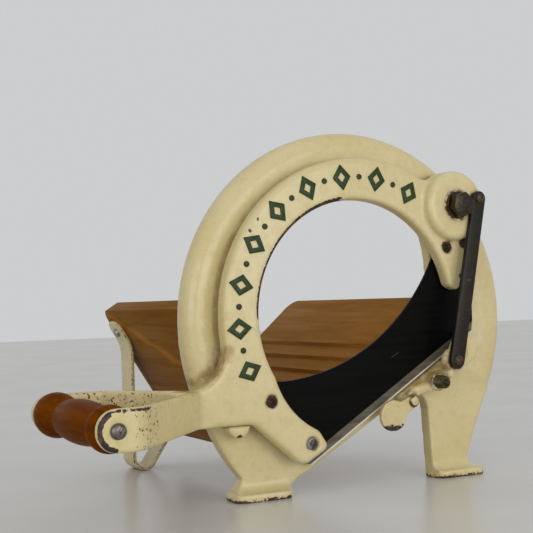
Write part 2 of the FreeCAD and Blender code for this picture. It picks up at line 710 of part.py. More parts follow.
def stop_lug():
    top = ARM_Z - ARM_H / 2 - REST_GAP
    lug = rod((STOP_X, top), STOP_R, STOP_REACH, WEB_FRONT)
    return lug.cut(Part.makeBox(4 * STOP_R, WEB_BACK, 2 * STOP_R, Vector(STOP_X - 2 * STOP_R, 0, top)))


def ramp_foot():
    """Where the rib begins to rise towards the boss, just past the guide tab's eye."""
    return TAB_PIN[0] + TAB_EYE_R + RAMP_GAP


def anchor_boss():
    """Rib under the cutting edge that rises to the boss of the link's lower pin."""
    edge = edge_w() - RIB_GAP
    tail = plus(ANCHOR, ANCHOR_TAIL)
    u_tail = blade_u(tail)
    rib = slab([blade_point(RIB_START, edge), blade_point(u_tail + RIB_END, edge),
                (blade_point(u_tail + RIB_TIP[0], edge + RIB_TIP[1]),
                 blade_point(u_tail + RIB_LOW_END, edge - RIB_DROP)),
                blade_point(RIB_START, edge - RIB_THIN)], BOSS_FRONT, WEB_FRONT)
    low = ramp_foot()
    high = low + RIB_RAMP
    before = low - 2 * HOLE_R
    ramp = [(before, BOSS_FRONT - 1), (before, RIB_LOW_Y), (low, RIB_LOW_Y), (high, BOSS_FRONT),
            (high, BOSS_FRONT - 1)]
    ramp_face = path_face(ramp, lambda point: Vector(point[0], point[1], 0))
    rib = rib.cut([ramp_face.extrude(Vector(0, 0, 2 * HOLE_Z)), rib_bevel()])
    back = BOW_BACK - BEHIND_GAP
    bosses = [rod(ANCHOR, ANCHOR_R, BOSS_FRONT, BOSS_FRONT + ANCHOR_T),
              rod(tail, ANCHOR_END_R, BOSS_FRONT, back).cut(left_of_ear()),
              rod(GAUGE_AT, COLLAR_R, GAUGE_TIP + GAUGE_OUT, back)]
    return rib.fuse(bosses)


def left_of_ear():
    start = plus(ANCHOR, EAR_SIDE)
    reach = 3 * ANCHOR_END_R
    return slab([along(start, EAR_SIDE_ANGLE, -reach), along(start, EAR_SIDE_ANGLE, reach),
                 along(start, EAR_SIDE_ANGLE, reach, reach), along(start, EAR_SIDE_ANGLE, -reach, reach)],
                BOSS_FRONT - 1, BOW_BACK)


def rib_bevel():
    """Wedge that slopes the rib's upper side away from the blade."""
    top = edge_w() - RIB_GAP
    side = [(top, BOW_BACK), (top - RIB_BEVEL, BOSS_FRONT - 1), (top + RIB_GAP, BOSS_FRONT - 1),
            (top + RIB_GAP, BOW_BACK)]
    return along_edge(side)


def along_edge(side):
    """Bar along the cutting edge with the given section (distance across the blade, y)."""
    run = 1.5 * HOLE_R
    corners = [wall(blade_point(-run, w), y) for w, y in side]
    direction = wall(blade_point(run, 0), 0) - wall(blade_point(-run, 0), 0)
    return Part.Face(Part.makePolygon(corners + corners[:1])).extrude(direction)


def blade_u(point):
    turn = math.radians(BLADE_ANGLE)
    return (point[0] - HOLE[0]) * math.cos(turn) + (point[1] - HOLE[1]) * math.sin(turn)


def frame_casting():
    body = slab(frame_outline(), WEB_FRONT, WEB_BACK)
    body = body.cut(rim_corner())
    body = body.fuse([ring_bead(), rim_flange()]).cut([window_cutter(), slot_cutter()])
    toes = foot(LEFT_FOOT) + foot(RIGHT_FOOT)
    body = body.fuse(toes + leg_backs() + [stop_lug(), anchor_boss()])
    holes = [rod(ANCHOR, PIN_R, BOSS_FRONT, LINK_FRONT + PIN_DEPTH + LINK_T),
             rod(GAUGE_AT, GAUGE_R, GAUGE_TIP, GAUGE_TIP + GAUGE_OUT + GAUGE_DEPTH),
             rod(TAB_PIN, TAB_PIN_R, BOSS_FRONT, RIB_LOW_Y + TAB_PIN_DEPTH)]
    holes += [screw_hole(point, WEB_FRONT, TROUGH_SCREW_R, TROUGH_SCREW_HEAD_R, TROUGH_SCREW_R, WEB_T)
              for point in trough_screw_points()]
    return body.cut(holes).removeSplitter()


def rim_corner():
    """Square front corner of the plate under the bead, which the rounded rim replaces."""
    band = rod(RING, RING_R + 1, WEB_FRONT, WEB_FRONT + RIM_EDGE_R * 0.8)
    band = band.cut(rod(RING, RING_R - RIM_EDGE_R, WEB_FRONT, WEB_FRONT + RIM_EDGE_R * 0.8))
    return band.cut(below_bead())


def below_bead():
    """Everything below the bead's two ends."""
    reach = 2 * RING_R
    left, right = along(RING, BEAD_TO, reach), along(RING, BEAD_FROM, reach)
    return slab([RING, left, plus(left, (0, -2 * reach)), plus(right, (0, -2 * reach)), right],
                WEB_FRONT - 1, WEB_BACK + 2 * RIM_DEPTH)


# Guide tab and gauge screw -------------------------------------------------

def guide_tab():
    round_end = plus(TAB_PIN, TAB_REACH)
    length = math.hypot(*TAB_REACH)
    heading = math.degrees(math.atan2(TAB_REACH[1], TAB_REACH[0]))
    lean = math.degrees(math.asin((TAB_R - TAB_EYE_R) / length))
    back = RIB_LOW_Y - FACE_GAP
    eye = [along(TAB_PIN, heading + side * (90 + lean), TAB_EYE_R) for side in (1, -1)]
    big = [along(round_end, heading + side * (90 + lean), TAB_R) for side in (1, -1)]
    steps = [eye[0], big[0], (along(round_end, heading, TAB_R), big[1]), eye[1],
             (along(TAB_PIN, heading, -TAB_EYE_R), eye[0])]
    tab = slab(steps, back - TAB_T, back)
    return tab.cut(rod(TAB_PIN, TAB_PIN_R + RUNNING_GAP, back - TAB_T, back))


def guide_tab_pin():
    face = RIB_LOW_Y - 2 * FACE_GAP - TAB_T
    head = rod(TAB_PIN, TAB_PIN_HEAD_R, face - TAB_PIN_HEAD_T, face)
    return head.fuse(rod(TAB_PIN, TAB_PIN_R, face - 0.2, RIB_LOW_Y + TAB_PIN_DEPTH))


def gauge_screw():
    front = GAUGE_TIP
    body = rod(GAUGE_AT, GAUGE_R, front, front + GAUGE_OUT + GAUGE_DEPTH)
    half = GAUGE_SLOT_W / 2
    steps = [along(GAUGE_AT, 20, reach, side) for reach, side in
             ((-GAUGE_R, -half), (GAUGE_R, -half), (GAUGE_R, half), (-GAUGE_R, half))]
    return body.cut(slab(steps, front, front + GAUGE_SLOT_W))


# Grip ----------------------------------------------------------------------

def grip():
    """Turned wooden grip: a short bead, a long belly and a longer bead, between two necks."""
    y_from = NEAR_ARM_Y + FORK_T + GRIP_END_GAP
    y_to = FAR_ARM_Y - FORK_T - GRIP_END_GAP
    neck_low, neck_high = y_from + NEAR_BEAD[1], y_to - FAR_BEAD[1]
    bore = ROD_R + RUNNING_GAP
    end, neck = GRIP_END_D / 2, GRIP_NECK_D / 2
    profile = [
        (bore, y_from), (end, y_from), ((GRIP_NEAR_D / 2, y_from + NEAR_BEAD[0]), (neck, neck_low)),
        ((GRIP_BELLY_D / 2, (neck_low + neck_high) / 2), (neck, neck_high)),
        ((GRIP_FAR_D / 2, y_to - FAR_BEAD[0]), (end, y_to)), (bore, y_to)]
    face = path_face(profile, lambda point: Vector(point[0], point[1], 0))
    body = face.revolve(Vector(0, 0, 0), Vector(0, 1, 0), 360)
    body.translate(wall((GRIP_X, ARM_Z), 0))
    return body


def grip_rod():
    centre = (GRIP_X, ARM_Z)
    head = rod(centre, ROD_HEAD_R, NEAR_END, NEAR_ARM_Y)
    head = head.makeFillet(ROD_HEAD_T * 0.8, edges_on_front(head, NEAR_END))
    half = SCREW_SLOT_W / 2
    slot = Part.makeBox(2 * ROD_HEAD_R, SCREW_SLOT_T, SCREW_SLOT_W,
                        Vector(GRIP_X - ROD_HEAD_R, NEAR_END, ARM_Z - half))
    shank = rod(centre, ROD_R, NEAR_ARM_Y - 0.2, FAR_ARM_Y + ROD_NUT_T + ROD_TAIL)
    return head.cut(slot).fuse(shank)


def grip_rod_nut():
    centre = (GRIP_X, ARM_Z)
    nut = hexagon(centre, ROD_NUT_AF, FAR_ARM_Y, FAR_ARM_Y + ROD_NUT_T, 30)
    return nut.cut(rod(centre, ROD_R, FAR_ARM_Y, FAR_ARM_Y + ROD_NUT_T))


# Trough --------------------------------------------------------------------

def on_left(distance, depth):
    """Point on the left board: distance from the V, depth into the board from its inner face."""
    return along(VERTEX, LEFT_SLOPE, distance, depth)


def on_right(distance, depth):
    return along(VERTEX, RIGHT_SLOPE, distance, -depth)


def seam_reach():
    """How far the right board runs past the V to carry the left one."""
    return BOARD_T / math.sin(math.radians(LEFT_SLOPE - RIGHT_SLOPE))


def trough_screw_points():
    return ([on_left(distance, BOARD_T / 2) for distance in LEFT_SCREWS]
            + [on_right(distance, TOOTH_DEPTH + (BOARD_T - TOOTH_DEPTH) / 2) for distance in RIGHT_SCREWS])


def board_holes():
    return [rod(point, TROUGH_SCREW_R + RUNNING_GAP, WEB_BACK, WEB_FRONT + TROUGH_SCREW_L)
            for point in trough_screw_points()]


def board_corners(board, tip):
    """Upper far corner of a board, which is rounded off."""
    return [edge for edge in board.Edges
            if edge.BoundBox.YLength < 0.01 and edge.BoundBox.YMin > TROUGH_END - 0.1
            and math.dist((edge.BoundBox.Center.x, edge.BoundBox.Center.z), tip) < 1.0]


def round_corner(board, along_board, depth_mid):
    """Round the far upper corner, seen square to the board."""
    tip = along_board(depth_mid)
    return board.makeFillet(BOARD_CORNER_R, board_corners(board, tip))


def trough_left_board():
    low = along(VERTEX, RIGHT_SLOPE, -seam_reach())
    board = slab([VERTEX, on_left(LEFT_L, 0), on_left(LEFT_L, BOARD_T), low], WEB_BACK, TROUGH_END)
    board = round_corner(board, lambda depth: on_left(LEFT_L, depth), BOARD_T / 2)
    return board.cut(board_holes() + seam_holes() + leg_screw_holes())


def trough_right_board():
    steps = [on_right(-seam_reach(), 0), on_right(TOOTH_START, 0)]
    for tooth in range(TOOTH_COUNT):
        start = TOOTH_START + tooth * TOOTH_PITCH
        steps.append(on_right(start + TOOTH_PITCH * 0.9, TOOTH_DEPTH))
        steps.append(on_right(start + TOOTH_PITCH, 0))
    steps += [on_right(RIGHT_L, 0), on_right(RIGHT_L, BOARD_T), on_right(-seam_reach(), BOARD_T)]
    board = slab(steps, WEB_BACK, TROUGH_END)
    board = round_corner(board, lambda depth: on_right(RIGHT_L, depth), BOARD_T / 2)
    return board.cut(board_holes() + seam_holes())


def seam_line(y):
    """Start and direction of a screw through the right board's edge into the left board."""
    start = on_right(-seam_reach() / 2, BOARD_T)
    direction = Vector(math.cos(math.radians(LEFT_SLOPE)), 0, math.sin(math.radians(LEFT_SLOPE)))
    return wall(start, y), direction


def seam_holes():
    holes = []
    for distance in SEAM_SCREWS:
        start, direction = seam_line(WEB_BACK + distance)
        begin = start - direction * BOARD_T
        holes.append(Part.makeCylinder(SEAM_SCREW_R + RUNNING_GAP, SEAM_SCREW_L + BOARD_T, begin, direction))
    return holes


def seam_screws():
    screws = []
    normal = Vector(math.sin(math.radians(RIGHT_SLOPE)), 0, -math.cos(math.radians(RIGHT_SLOPE)))
    for distance in SEAM_SCREWS:
        start, direction = seam_line(WEB_BACK + distance)
        shank = Part.makeCylinder(SEAM_SCREW_R, SEAM_SCREW_L + 1, start - direction, direction)
        head = Part.makeCylinder(SEAM_HEAD_R, 1.5, start, normal)
        screws.append(shank.fuse(head))
    return screws


def trough_screws():
    return [screw(point, WEB_FRONT + 0.1, TROUGH_SCREW_R, TROUGH_SCREW_HEAD_R - 0.1, TROUGH_SCREW_R - 0.1,
                  TROUGH_SCREW_L - 0.1, 30) for point in trough_screw_points()]


# Rear leg ------------------------------------------------------------------

def leg_moves():
    """Band from its top tab, down to the table, round and up to its lower tab."""
    down = LEFT_SLOPE - 180
    first = BAND_TOP - BAND_LEAVES
    start = on_left(BAND_TOP, BOARD_T + BAND_T / 2)
    bend_down = -90 - down
    after = along(start, down, first)
    centre = along(after, down, 0, -BAND_BEND_R)
    vertical_top = along(centre, -90, 0, BAND_BEND_R)
    drop = vertical_top[1] - LEG_BEND_R - BAND_T / 2
    turn = 90 + LEG_RISE
    bend_centre = (vertical_top[0] + LEG_BEND_R, LEG_BEND_R + BAND_T / 2)
    leaves = along(bend_centre, LEG_RISE, 0, -LEG_BEND_R)
    face_point = on_left(0, BOARD_T + BAND_T / 2)
    rise = math.radians(LEG_RISE)
    lean = math.radians(LEFT_SLOPE)
    dx, dz = face_point[0] - leaves[0], face_point[1] - leaves[1]
    cross = math.cos(rise) * math.sin(lean) - math.sin(rise) * math.cos(lean)
    length = (dx * math.sin(lean) - dz * math.cos(lean)) / cross
    last_turn = LEFT_SLOPE - LEG_RISE
    tangent = BAND_LOW_BEND_R * math.tan(math.radians(last_turn / 2))
    moves = [(first, 0), (BAND_BEND_R, bend_down), (drop, 0), (LEG_BEND_R, turn),
             (length - tangent, 0), (BAND_LOW_BEND_R, last_turn), (BAND_LOW_TAB, 0)]
    return start, down, moves


def rear_leg():
    start, heading, moves = leg_moves()
    y_from = TROUGH_END - BAND_INSET - BAND_W
    face, end, _ = strip_face(start, heading, moves, BAND_T, lambda point: wall(point, y_from))
    band = face.extrude(Vector(0, BAND_W, 0))
    corners = [edge for edge in band.Edges if abs(edge.Length - BAND_T) < 0.01
               and min(math.dist((edge.CenterOfMass.x, edge.CenterOfMass.z), tip) for tip in (start, end)) < 0.1]
    return band.makeFillet(BAND_END_R, corners).cut(leg_screw_holes())


def leg_screw_places():
    start, heading, moves = leg_moves()
    upper = on_left(BAND_TOP - LEG_SCREW_INSET, BOARD_T)
    end = strip_face(start, heading, moves, BAND_T, lambda point: wall(point, 0))[1]
    lower = along(end, LEFT_SLOPE, -LEG_SCREW_INSET, -BAND_T / 2)
    y = TROUGH_END - BAND_INSET - BAND_W / 2
    return [wall(upper, y), wall(lower, y)]


def inward():
    """Direction from the left board's outer face into the board."""
    lean = math.radians(LEFT_SLOPE)
    return Vector(math.sin(lean), 0, -math.cos(lean))


def leg_screw_holes():
    return [Part.makeCylinder(LEG_SCREW_R + RUNNING_GAP, LEG_SCREW_L + BAND_T + 1,
                              place - inward() * (BAND_T + 1), inward()) for place in leg_screw_places()]


def leg_screws():
    screws = []
    for place in leg_screw_places():
        seat = place - inward() * BAND_T
        head = Part.makeCylinder(LEG_SCREW_HEAD_R, LEG_SCREW_HEAD_T, seat, inward() * -1)
        top = [edge for edge in head.Edges if edge.Closed
               and abs((edge.BoundBox.Center - seat).Length - LEG_SCREW_HEAD_T) < 0.1]
        head = head.makeFillet(LEG_SCREW_HEAD_T * 0.7, top)
        shank = Part.makeCylinder(LEG_SCREW_R, LEG_SCREW_L + BAND_T, seat, inward())
        screws.append(head.fuse(shank))
    return screws


NODES = {
    "frame_casting": frame_casting,
    "trough_screws": trough_screws,
    "link_lower_pin": lambda: link_pin(ANCHOR),
    "link_bar": link_bar,
    "link_upper_pin": lambda: link_pin(LINK_TOP),
    "knife_bow": knife_bow,
    "knife_blade": knife_blade,
    "blade_screws": blade_screws,
    "blade_tip_rivet": tip_rivet,
    "pivot_bolt": pivot_bolt,
    "pivot_washer": pivot_washer,
    "pivot_spacer": pivot_spacer,
    "pivot_rear_washer": rear_washer,
    "pivot_nut": pivot_nut,
    "grip": grip,
    "grip_rod": grip_rod,
    "grip_rod_nut": grip_rod_nut,
    "guide_tab": guide_tab,
    "guide_tab_pin": guide_tab_pin,
    "gauge_screw": gauge_screw,
    "trough_left_board": trough_left_board,
    "trough_right_board": trough_right_board,
    "trough_seam_screws": seam_screws,
    "rear_leg": rear_leg,
    "rear_leg_screws": leg_screws,
}


def main():
    os.makedirs("parts", exist_ok=True)
    for name, make in NODES.items():
        made = make()
        solids = made if isinstance(made, list) else [made]
        shape = Part.makeCompound(solids) if len(solids) > 1 else solids[0]
        shape.translate(SHIFT)
        shape.exportStep("parts/%s.step" % name)
        box = shape.BoundBox
        print("%-20s solids %d valid %s volume %.0f  x %.1f %.1f  y %.1f %.1f  z %.1f %.1f" % (
            name, len(shape.Solids), shape.isValid(), shape.Volume,
            box.XMin, box.XMax, box.YMin, box.YMax, box.ZMin, box.ZMax))
    for label, point, y in (("anchor", ANCHOR, BOSS_FRONT), ("link_top", LINK_TOP, BOSS_FRONT),
                            ("pivot", PIVOT, BOSS_FRONT), ("grip", (GRIP_X, ARM_Z), 0),
                            ("tab_pin", TAB_PIN, RIB_LOW_Y), ("vertex", VERTEX, WEB_BACK)):
        print("point %s %.3f %.3f %.3f" % (label, point[0] + SHIFT.x, y + SHIFT.y, point[1]))
    print("shift %.4f %.4f" % (SHIFT.x, SHIFT.y))


main()
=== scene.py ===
import bmesh
import bpy
import json
import math
from mathutils import Matrix, Vector


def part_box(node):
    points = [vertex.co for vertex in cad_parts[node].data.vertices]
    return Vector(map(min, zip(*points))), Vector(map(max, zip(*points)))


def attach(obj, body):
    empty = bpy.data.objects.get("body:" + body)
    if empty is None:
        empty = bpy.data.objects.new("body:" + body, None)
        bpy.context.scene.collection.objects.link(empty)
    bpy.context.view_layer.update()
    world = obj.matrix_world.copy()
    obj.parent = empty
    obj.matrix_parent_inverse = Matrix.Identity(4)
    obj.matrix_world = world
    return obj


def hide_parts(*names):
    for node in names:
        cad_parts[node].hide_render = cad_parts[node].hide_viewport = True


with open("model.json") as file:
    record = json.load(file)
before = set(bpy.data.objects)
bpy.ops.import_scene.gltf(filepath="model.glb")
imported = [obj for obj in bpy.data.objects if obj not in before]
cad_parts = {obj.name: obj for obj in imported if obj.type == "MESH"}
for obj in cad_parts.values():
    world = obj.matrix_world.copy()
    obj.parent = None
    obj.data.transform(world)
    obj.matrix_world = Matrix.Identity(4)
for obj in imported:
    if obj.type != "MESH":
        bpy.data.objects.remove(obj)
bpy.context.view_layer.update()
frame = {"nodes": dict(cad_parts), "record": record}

# Lever bread slicer, in metres. X runs to the right along the cast frame, Y back along the trough, Z up.
MM = 0.001


def hinge(name):
    """Where a joint's axis passes, from the record."""
    joints = frame["record"]["behaviour"]["joints"]
    return next(Vector(joint["pos_m"]) for joint in joints if joint["name"] == name)


ANCHOR = hinge("link_swing")            # the link's lower pin
LINK_TOP = hinge("bow_swing")           # the link's upper pin
GRIP = hinge("grip_spin")
TAB_PIN = hinge("guide_tab_swing")


def middle(node):
    low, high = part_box(node)
    return (Vector(low) + Vector(high)) / 2


PIVOT = middle("pivot_bolt")
GAUGE = middle("gauge_screw")
BOW_FRONT = GRIP.y                      # the bow's front face
OPENING = Vector((0.04475, 0.0, 0.1355))
OPENING_R = 87 * MM
BOW_CENTRE = OPENING + Vector((4 * MM, 0, -1.1 * MM))
BOW_R = 120.6 * MM                      # outer edge of the bow
RING = OPENING + Vector((6.5 * MM, 0, -4.3 * MM))
RING_R = 146 * MM                       # outer edge of the frame's ring
RIM_INNER_R = RING_R - 5 * MM           # inner wall of the rim that is turned back
WEB_FRONT = BOW_FRONT + 19 * MM         # front face of the frame's plate
WEB_BACK = WEB_FRONT + 8 * MM
WASHER_REACH = 52 * MM                  # the rear washer never slides farther from the pivot
BOSS_FRONT = -0.07                      # the frame's bosses reach in front of this
BLADE_TILT = math.radians(31.2)
EDGE_SQUARE = (-math.sin(BLADE_TILT), 0.0, math.cos(BLADE_TILT))
CUTTING_EDGE = -76.6 * MM               # from the opening's centre, square to the edge

# Marks of use: places as (x, z) where the enamel is stained or chipped, and the ends of scratches. Along the
# arm's crease the dark line is partly dirt and partly painted shade, where the arm's edge meets the ring.
ARM_CREASE_DIRT_AND_SHADE = [(-0.1000, 0.0860), (-0.0843, 0.0912), (-0.0704, 0.1034), (-0.0680, 0.1120)]
BOW_CHIPS = ((-41.9 * MM, 206.5 * MM), (-48.7 * MM, 197.7 * MM))
LUG_CHIP = (-59.4 * MM, 49.6 * MM)
LINK_MARK = (Vector((0.1384, 0, 0.1586)), Vector((0.1428, 0, 0.1594)))
BLADE_SCRATCH = (Vector((0.0791, 0, 0.0991)), Vector((0.0870, 0, 0.1034)))


def from_front(point, centre):
    """Distance and angle of a point around a centre, seen from the front."""
    dx, dz = point.x - centre.x, point.z - centre.z
    return math.hypot(dx, dz), math.degrees(math.atan2(dz, dx)) % 360


def from_place(point, place):
    """Distance of a point from an (x, z) place, seen from the front."""
    return math.hypot(point.x - place[0], point.z - place[1])


def around_opening(angle, radius):
    """The point at an angle and a radius around the opening."""
    turn = math.radians(angle)
    return OPENING + radius * Vector((math.cos(turn), 0, math.sin(turn)))


def off_line(point, places):
    """Distance from a broken line through (x, z) places, seen from the front."""
    here = Vector((point.x, point.z))
    best = math.inf
    for first, last in zip(places, places[1:]):
        first, last = Vector(first), Vector(last)
        run = last - first
        share = min(1.0, max(0.0, (here - first).dot(run) / run.length_squared))
        best = min(best, (here - first - run * share).length)
    return best


def fade(value, low, high):
    """0 below low, 1 above high, smooth between."""
    share = min(1.0, max(0.0, (value - low) / (high - low)))
    return share * share * (3 - 2 * share)


def band(value, low, high, soft):
    """1 between low and high, fading to 0 over soft on both sides."""
    return fade(value, low - soft, low) * (1 - fade(value, high, high + soft))


# Words for building finishes ------------------------------------------------------

class Finish:
    """A material, and short words to build its nodes with."""

    def __init__(self, name):
        self.material = bpy.data.materials.new(name)
        self.material.use_nodes = True
        self.tree = self.material.node_tree
        self.tree.nodes.clear()
        output = self.tree.nodes.new("ShaderNodeOutputMaterial")
        self.shader = self.tree.nodes.new("ShaderNodeBsdfPrincipled")
        self.tree.links.new(self.shader.outputs["BSDF"], output.inputs["Surface"])
        self.place = self.tree.nodes.new("ShaderNodeTexCoord").outputs["Object"]

    def put(self, socket, value):
        if isinstance(value, bpy.types.NodeSocket):
            self.tree.links.new(value, socket)
        else:
            socket.default_value = value

    def node(self, kind, values, **settings):
        made = self.tree.nodes.new("ShaderNode" + kind)
        for name, setting in settings.items():
            setattr(made, name, setting)
        for socket, value in values.items():
            self.put(made.inputs[socket], value)
        return made

    def moved(self, scale=(1, 1, 1), turn=(0, 0, 0), move=(0, 0, 0)):
        values = {"Vector": self.place, "Scale": scale, "Rotation": turn, "Location": move}
        return self.node("Mapping", values).outputs["Vector"]

    def noise(self, size, detail=4.0, rough=0.55, vector=None, bend=0.0):
        """Noise with blots of about that size in metres."""
        values = {"Vector": vector or self.place, "Scale": 1 / size, "Detail": detail, "Roughness": rough,
                  "Distortion": bend}
        return self.node("TexNoise", values).outputs["Fac"]

    def cells(self, size):
        return self.node("TexVoronoi", {"Vector": self.place, "Scale": 1 / size}).outputs["Distance"]

    def math(self, what, a, b=0.0):
        return self.node("Math", {0: a, 1: b}, operation=what).outputs[0]

    def ramp(self, value, low, high, to_low=0.0, to_high=1.0):
        values = {"Value": value, "From Min": low, "From Max": high, "To Min": to_low, "To Max": to_high}
        return self.node("MapRange", values, interpolation_type="SMOOTHSTEP").outputs["Result"]

    def across(self, direction, start):
        """Distance along a direction from a plane through a point."""
        dot = self.node("VectorMath", {0: self.place, 1: tuple(direction)}, operation="DOT_PRODUCT")
        return self.math("SUBTRACT", dot.outputs["Value"], Vector(direction).dot(start))

    def mark(self, start, end, width):
        """1 along a short line between two places, seen from the front."""
        run = (end - start).normalized()
        beside = self.math("ABSOLUTE", self.across((-run.z, 0.0, run.x), start))
        far = self.math("ABSOLUTE", self.across(run, (start + end) / 2))
        half = (end - start).length / 2
        return self.math("MULTIPLY", self.ramp(beside, 0.4 * width, width, 1.0, 0.0),
                         self.ramp(far, 0.7 * half, half, 1.0, 0.0))

    def mix(self, share, a, b):
        made = self.node("Mix", {}, data_type="RGBA")
        self.put(made.inputs[0], share)
        self.put(made.inputs[6], (*a, 1.0) if isinstance(a, tuple) else a)
        self.put(made.inputs[7], (*b, 1.0) if isinstance(b, tuple) else b)
        return made.outputs[2]

    def blend(self, share, a, b):
        made = self.node("Mix", {}, data_type="FLOAT")
        for socket, value in ((0, share), (2, a), (3, b)):
            self.put(made.inputs[socket], value)
        return made.outputs[0]

    def painted(self, name):
        return self.node("Attribute", {}, attribute_name=name).outputs["Fac"]

    def bump(self, height, depth, strength=1.0, under=None):
        values = {"Height": height, "Distance": depth, "Strength": strength}
        if under is not None:
            values["Normal"] = under
        return self.node("Bump", values).outputs["Normal"]

    def done(self, colour, rough, normal=None, specular=0.5, metallic=0.0, coat=0.0):
        self.put(self.shader.inputs["Base Color"], colour)
        self.put(self.shader.inputs["Roughness"], rough)
        self.put(self.shader.inputs["Specular IOR Level"], specular)
        self.put(self.shader.inputs["Metallic"], metallic)
        self.put(self.shader.inputs["Coat Weight"], coat)
        self.put(self.shader.inputs["Coat Roughness"], 0.14)
        if normal is not None:
            self.put(self.shader.inputs["Normal"], normal)
        return self.material


# Finishes -------------------------------------------------------------------------

CREAM = (0.655, 0.562, 0.302)
CREAM_WARM = (0.63, 0.525, 0.258)
OCHRE = (0.36, 0.215, 0.055)
GRIME = (0.022, 0.009, 0.004)
CHIP_BLACK = (0.014, 0.010, 0.009)
RUST = (0.13, 0.045, 0.014)


def stove_enamel():
    """Cream enamel: ochre in the hollows, brown dirt around the fittings, chipped to the iron where worn; the
    ochre and dark amounts also carry painted shade along the arm's crease and the bow's edge.
    """
    f = Finish("cream_enamel")
    mottle = f.noise(0.006)
    colour = f.mix(f.ramp(f.noise(0.05, 3.0), 0.35, 0.7), CREAM, CREAM_WARM)
    colour = f.mix(f.ramp(mottle, 0.45, 0.85, 0.0, 0.22), colour, OCHRE)
    # The ochre and dark amounts below hold dirt, and also painted shade along the arm's crease and the bow's
    # edge.
    stain_and_shade = f.math("MULTIPLY", f.painted("hollow"), f.ramp(f.noise(0.010), 0.3, 0.62))
    colour = f.mix(stain_and_shade, colour, OCHRE)
    grime_and_shade = f.math("MULTIPLY", f.painted("grime_and_shade"), f.ramp(f.noise(0.004, 5.0), 0.34, 0.56))
    colour = f.mix(grime_and_shade, colour, f.mix(f.ramp(f.painted("grime_and_shade"), 0.55, 0.85), RUST, GRIME))
    worn = f.painted("worn")
    edges = f.ramp(f.math("ADD", f.noise(0.0032, 6.0, 0.66), f.math("MULTIPLY", worn, 0.52)), 0.86, 0.885)
    specks = f.ramp(f.math("SUBTRACT", f.cells(0.0024), f.math("MULTIPLY", worn, 0.50)), 0.0, 0.04, 1.0, 0.0)
    specks = f.math("MULTIPLY", specks, f.ramp(f.noise(0.007), 0.44, 0.56))
    bare = f.math("MAXIMUM", edges, f.math("MULTIPLY", specks, f.ramp(worn, 0.04, 0.2)))
    iron = f.mix(f.ramp(f.noise(0.005), 0.46, 0.60), CHIP_BLACK, RUST)
    iron = f.mix(f.ramp(worn, 0.45, 0.7), f.mix(f.ramp(f.noise(0.003), 0.4, 0.6), RUST, GRIME), iron)
    colour = f.mix(bare, colour, iron)
    rough = f.blend(bare, f.ramp(mottle, 0.3, 0.7, 0.26, 0.38), 0.75)
    height = f.blend(bare, f.math("MULTIPLY", f.noise(0.004, 2.0), 0.45), -0.6)
    skin = f.bump(height, 0.0004, 0.6)
    casting = f.bump(f.noise(0.018, 2.5), 0.0016, 0.4, skin)
    return f.done(colour, rough, casting, coat=0.2)


def green_enamel():
    """Dark green paint brushed on the raised ornament, thin on its high spots."""
    f = Finish("green_enamel")
    colour = f.mix(f.ramp(f.noise(0.003), 0.35, 0.7), (0.018, 0.036, 0.010), (0.032, 0.056, 0.015))
    thin = f.ramp(f.noise(0.0016, 5.0, 0.65), 0.62, 0.72)
    colour = f.mix(f.math("MULTIPLY", thin, 0.7), colour, (0.24, 0.24, 0.10))
    return f.done(colour, f.blend(thin, 0.34, 0.6), f.bump(f.noise(0.0015, 4.0), 0.0003, 0.6), specular=0.2)


def lacquered_wood(name, light, dark, shift, gloss, painted_reflection=None, sheen=0.03):
    """Lacquered beech with its grain along Y: broad bands, fine fibres, short flecks and a faint gloss."""
    f = Finish(name)
    bands = f.noise(0.16, 5.0, 0.6, f.moved((22.0, 1.3, 22.0), move=shift), 0.5)
    fibres = f.noise(1.0, 3.0, 0.6, f.moved((650.0, 22.0, 650.0)))
    flecks = f.ramp(f.noise(1.0, 2.0, 0.5, f.moved((420.0, 60.0, 420.0), move=(3.0, 1.0, 2.0))), 0.62, 0.72)
    colour = f.mix(f.ramp(bands, 0.3, 0.72), light, dark)
    colour = f.mix(f.ramp(fibres, 0.35, 0.75, 0.0, 0.3), colour, dark)
    colour = f.mix(f.math("MULTIPLY", flecks, 0.3), colour, tuple(0.4 * part for part in dark))
    # Painted reflection: an optional brighter orange band across the lacquer, in the place of how the board's
    # gloss reflects.
    if painted_reflection:
        direction, start, width, reflection_colour = painted_reflection
        near = f.math("ABSOLUTE", f.across(direction, start))
        ragged = f.math("ADD", near, f.ramp(f.noise(0.03), 0.3, 0.7, -0.003, 0.003))
        colour = f.mix(f.ramp(ragged, 0.0, width, 0.75, 0.0), colour, reflection_colour)
    rough = f.ramp(bands, 0.3, 0.7, gloss, gloss + 0.1)
    return f.done(colour, rough, f.bump(fibres, 0.00008, 0.3), specular=sheen)


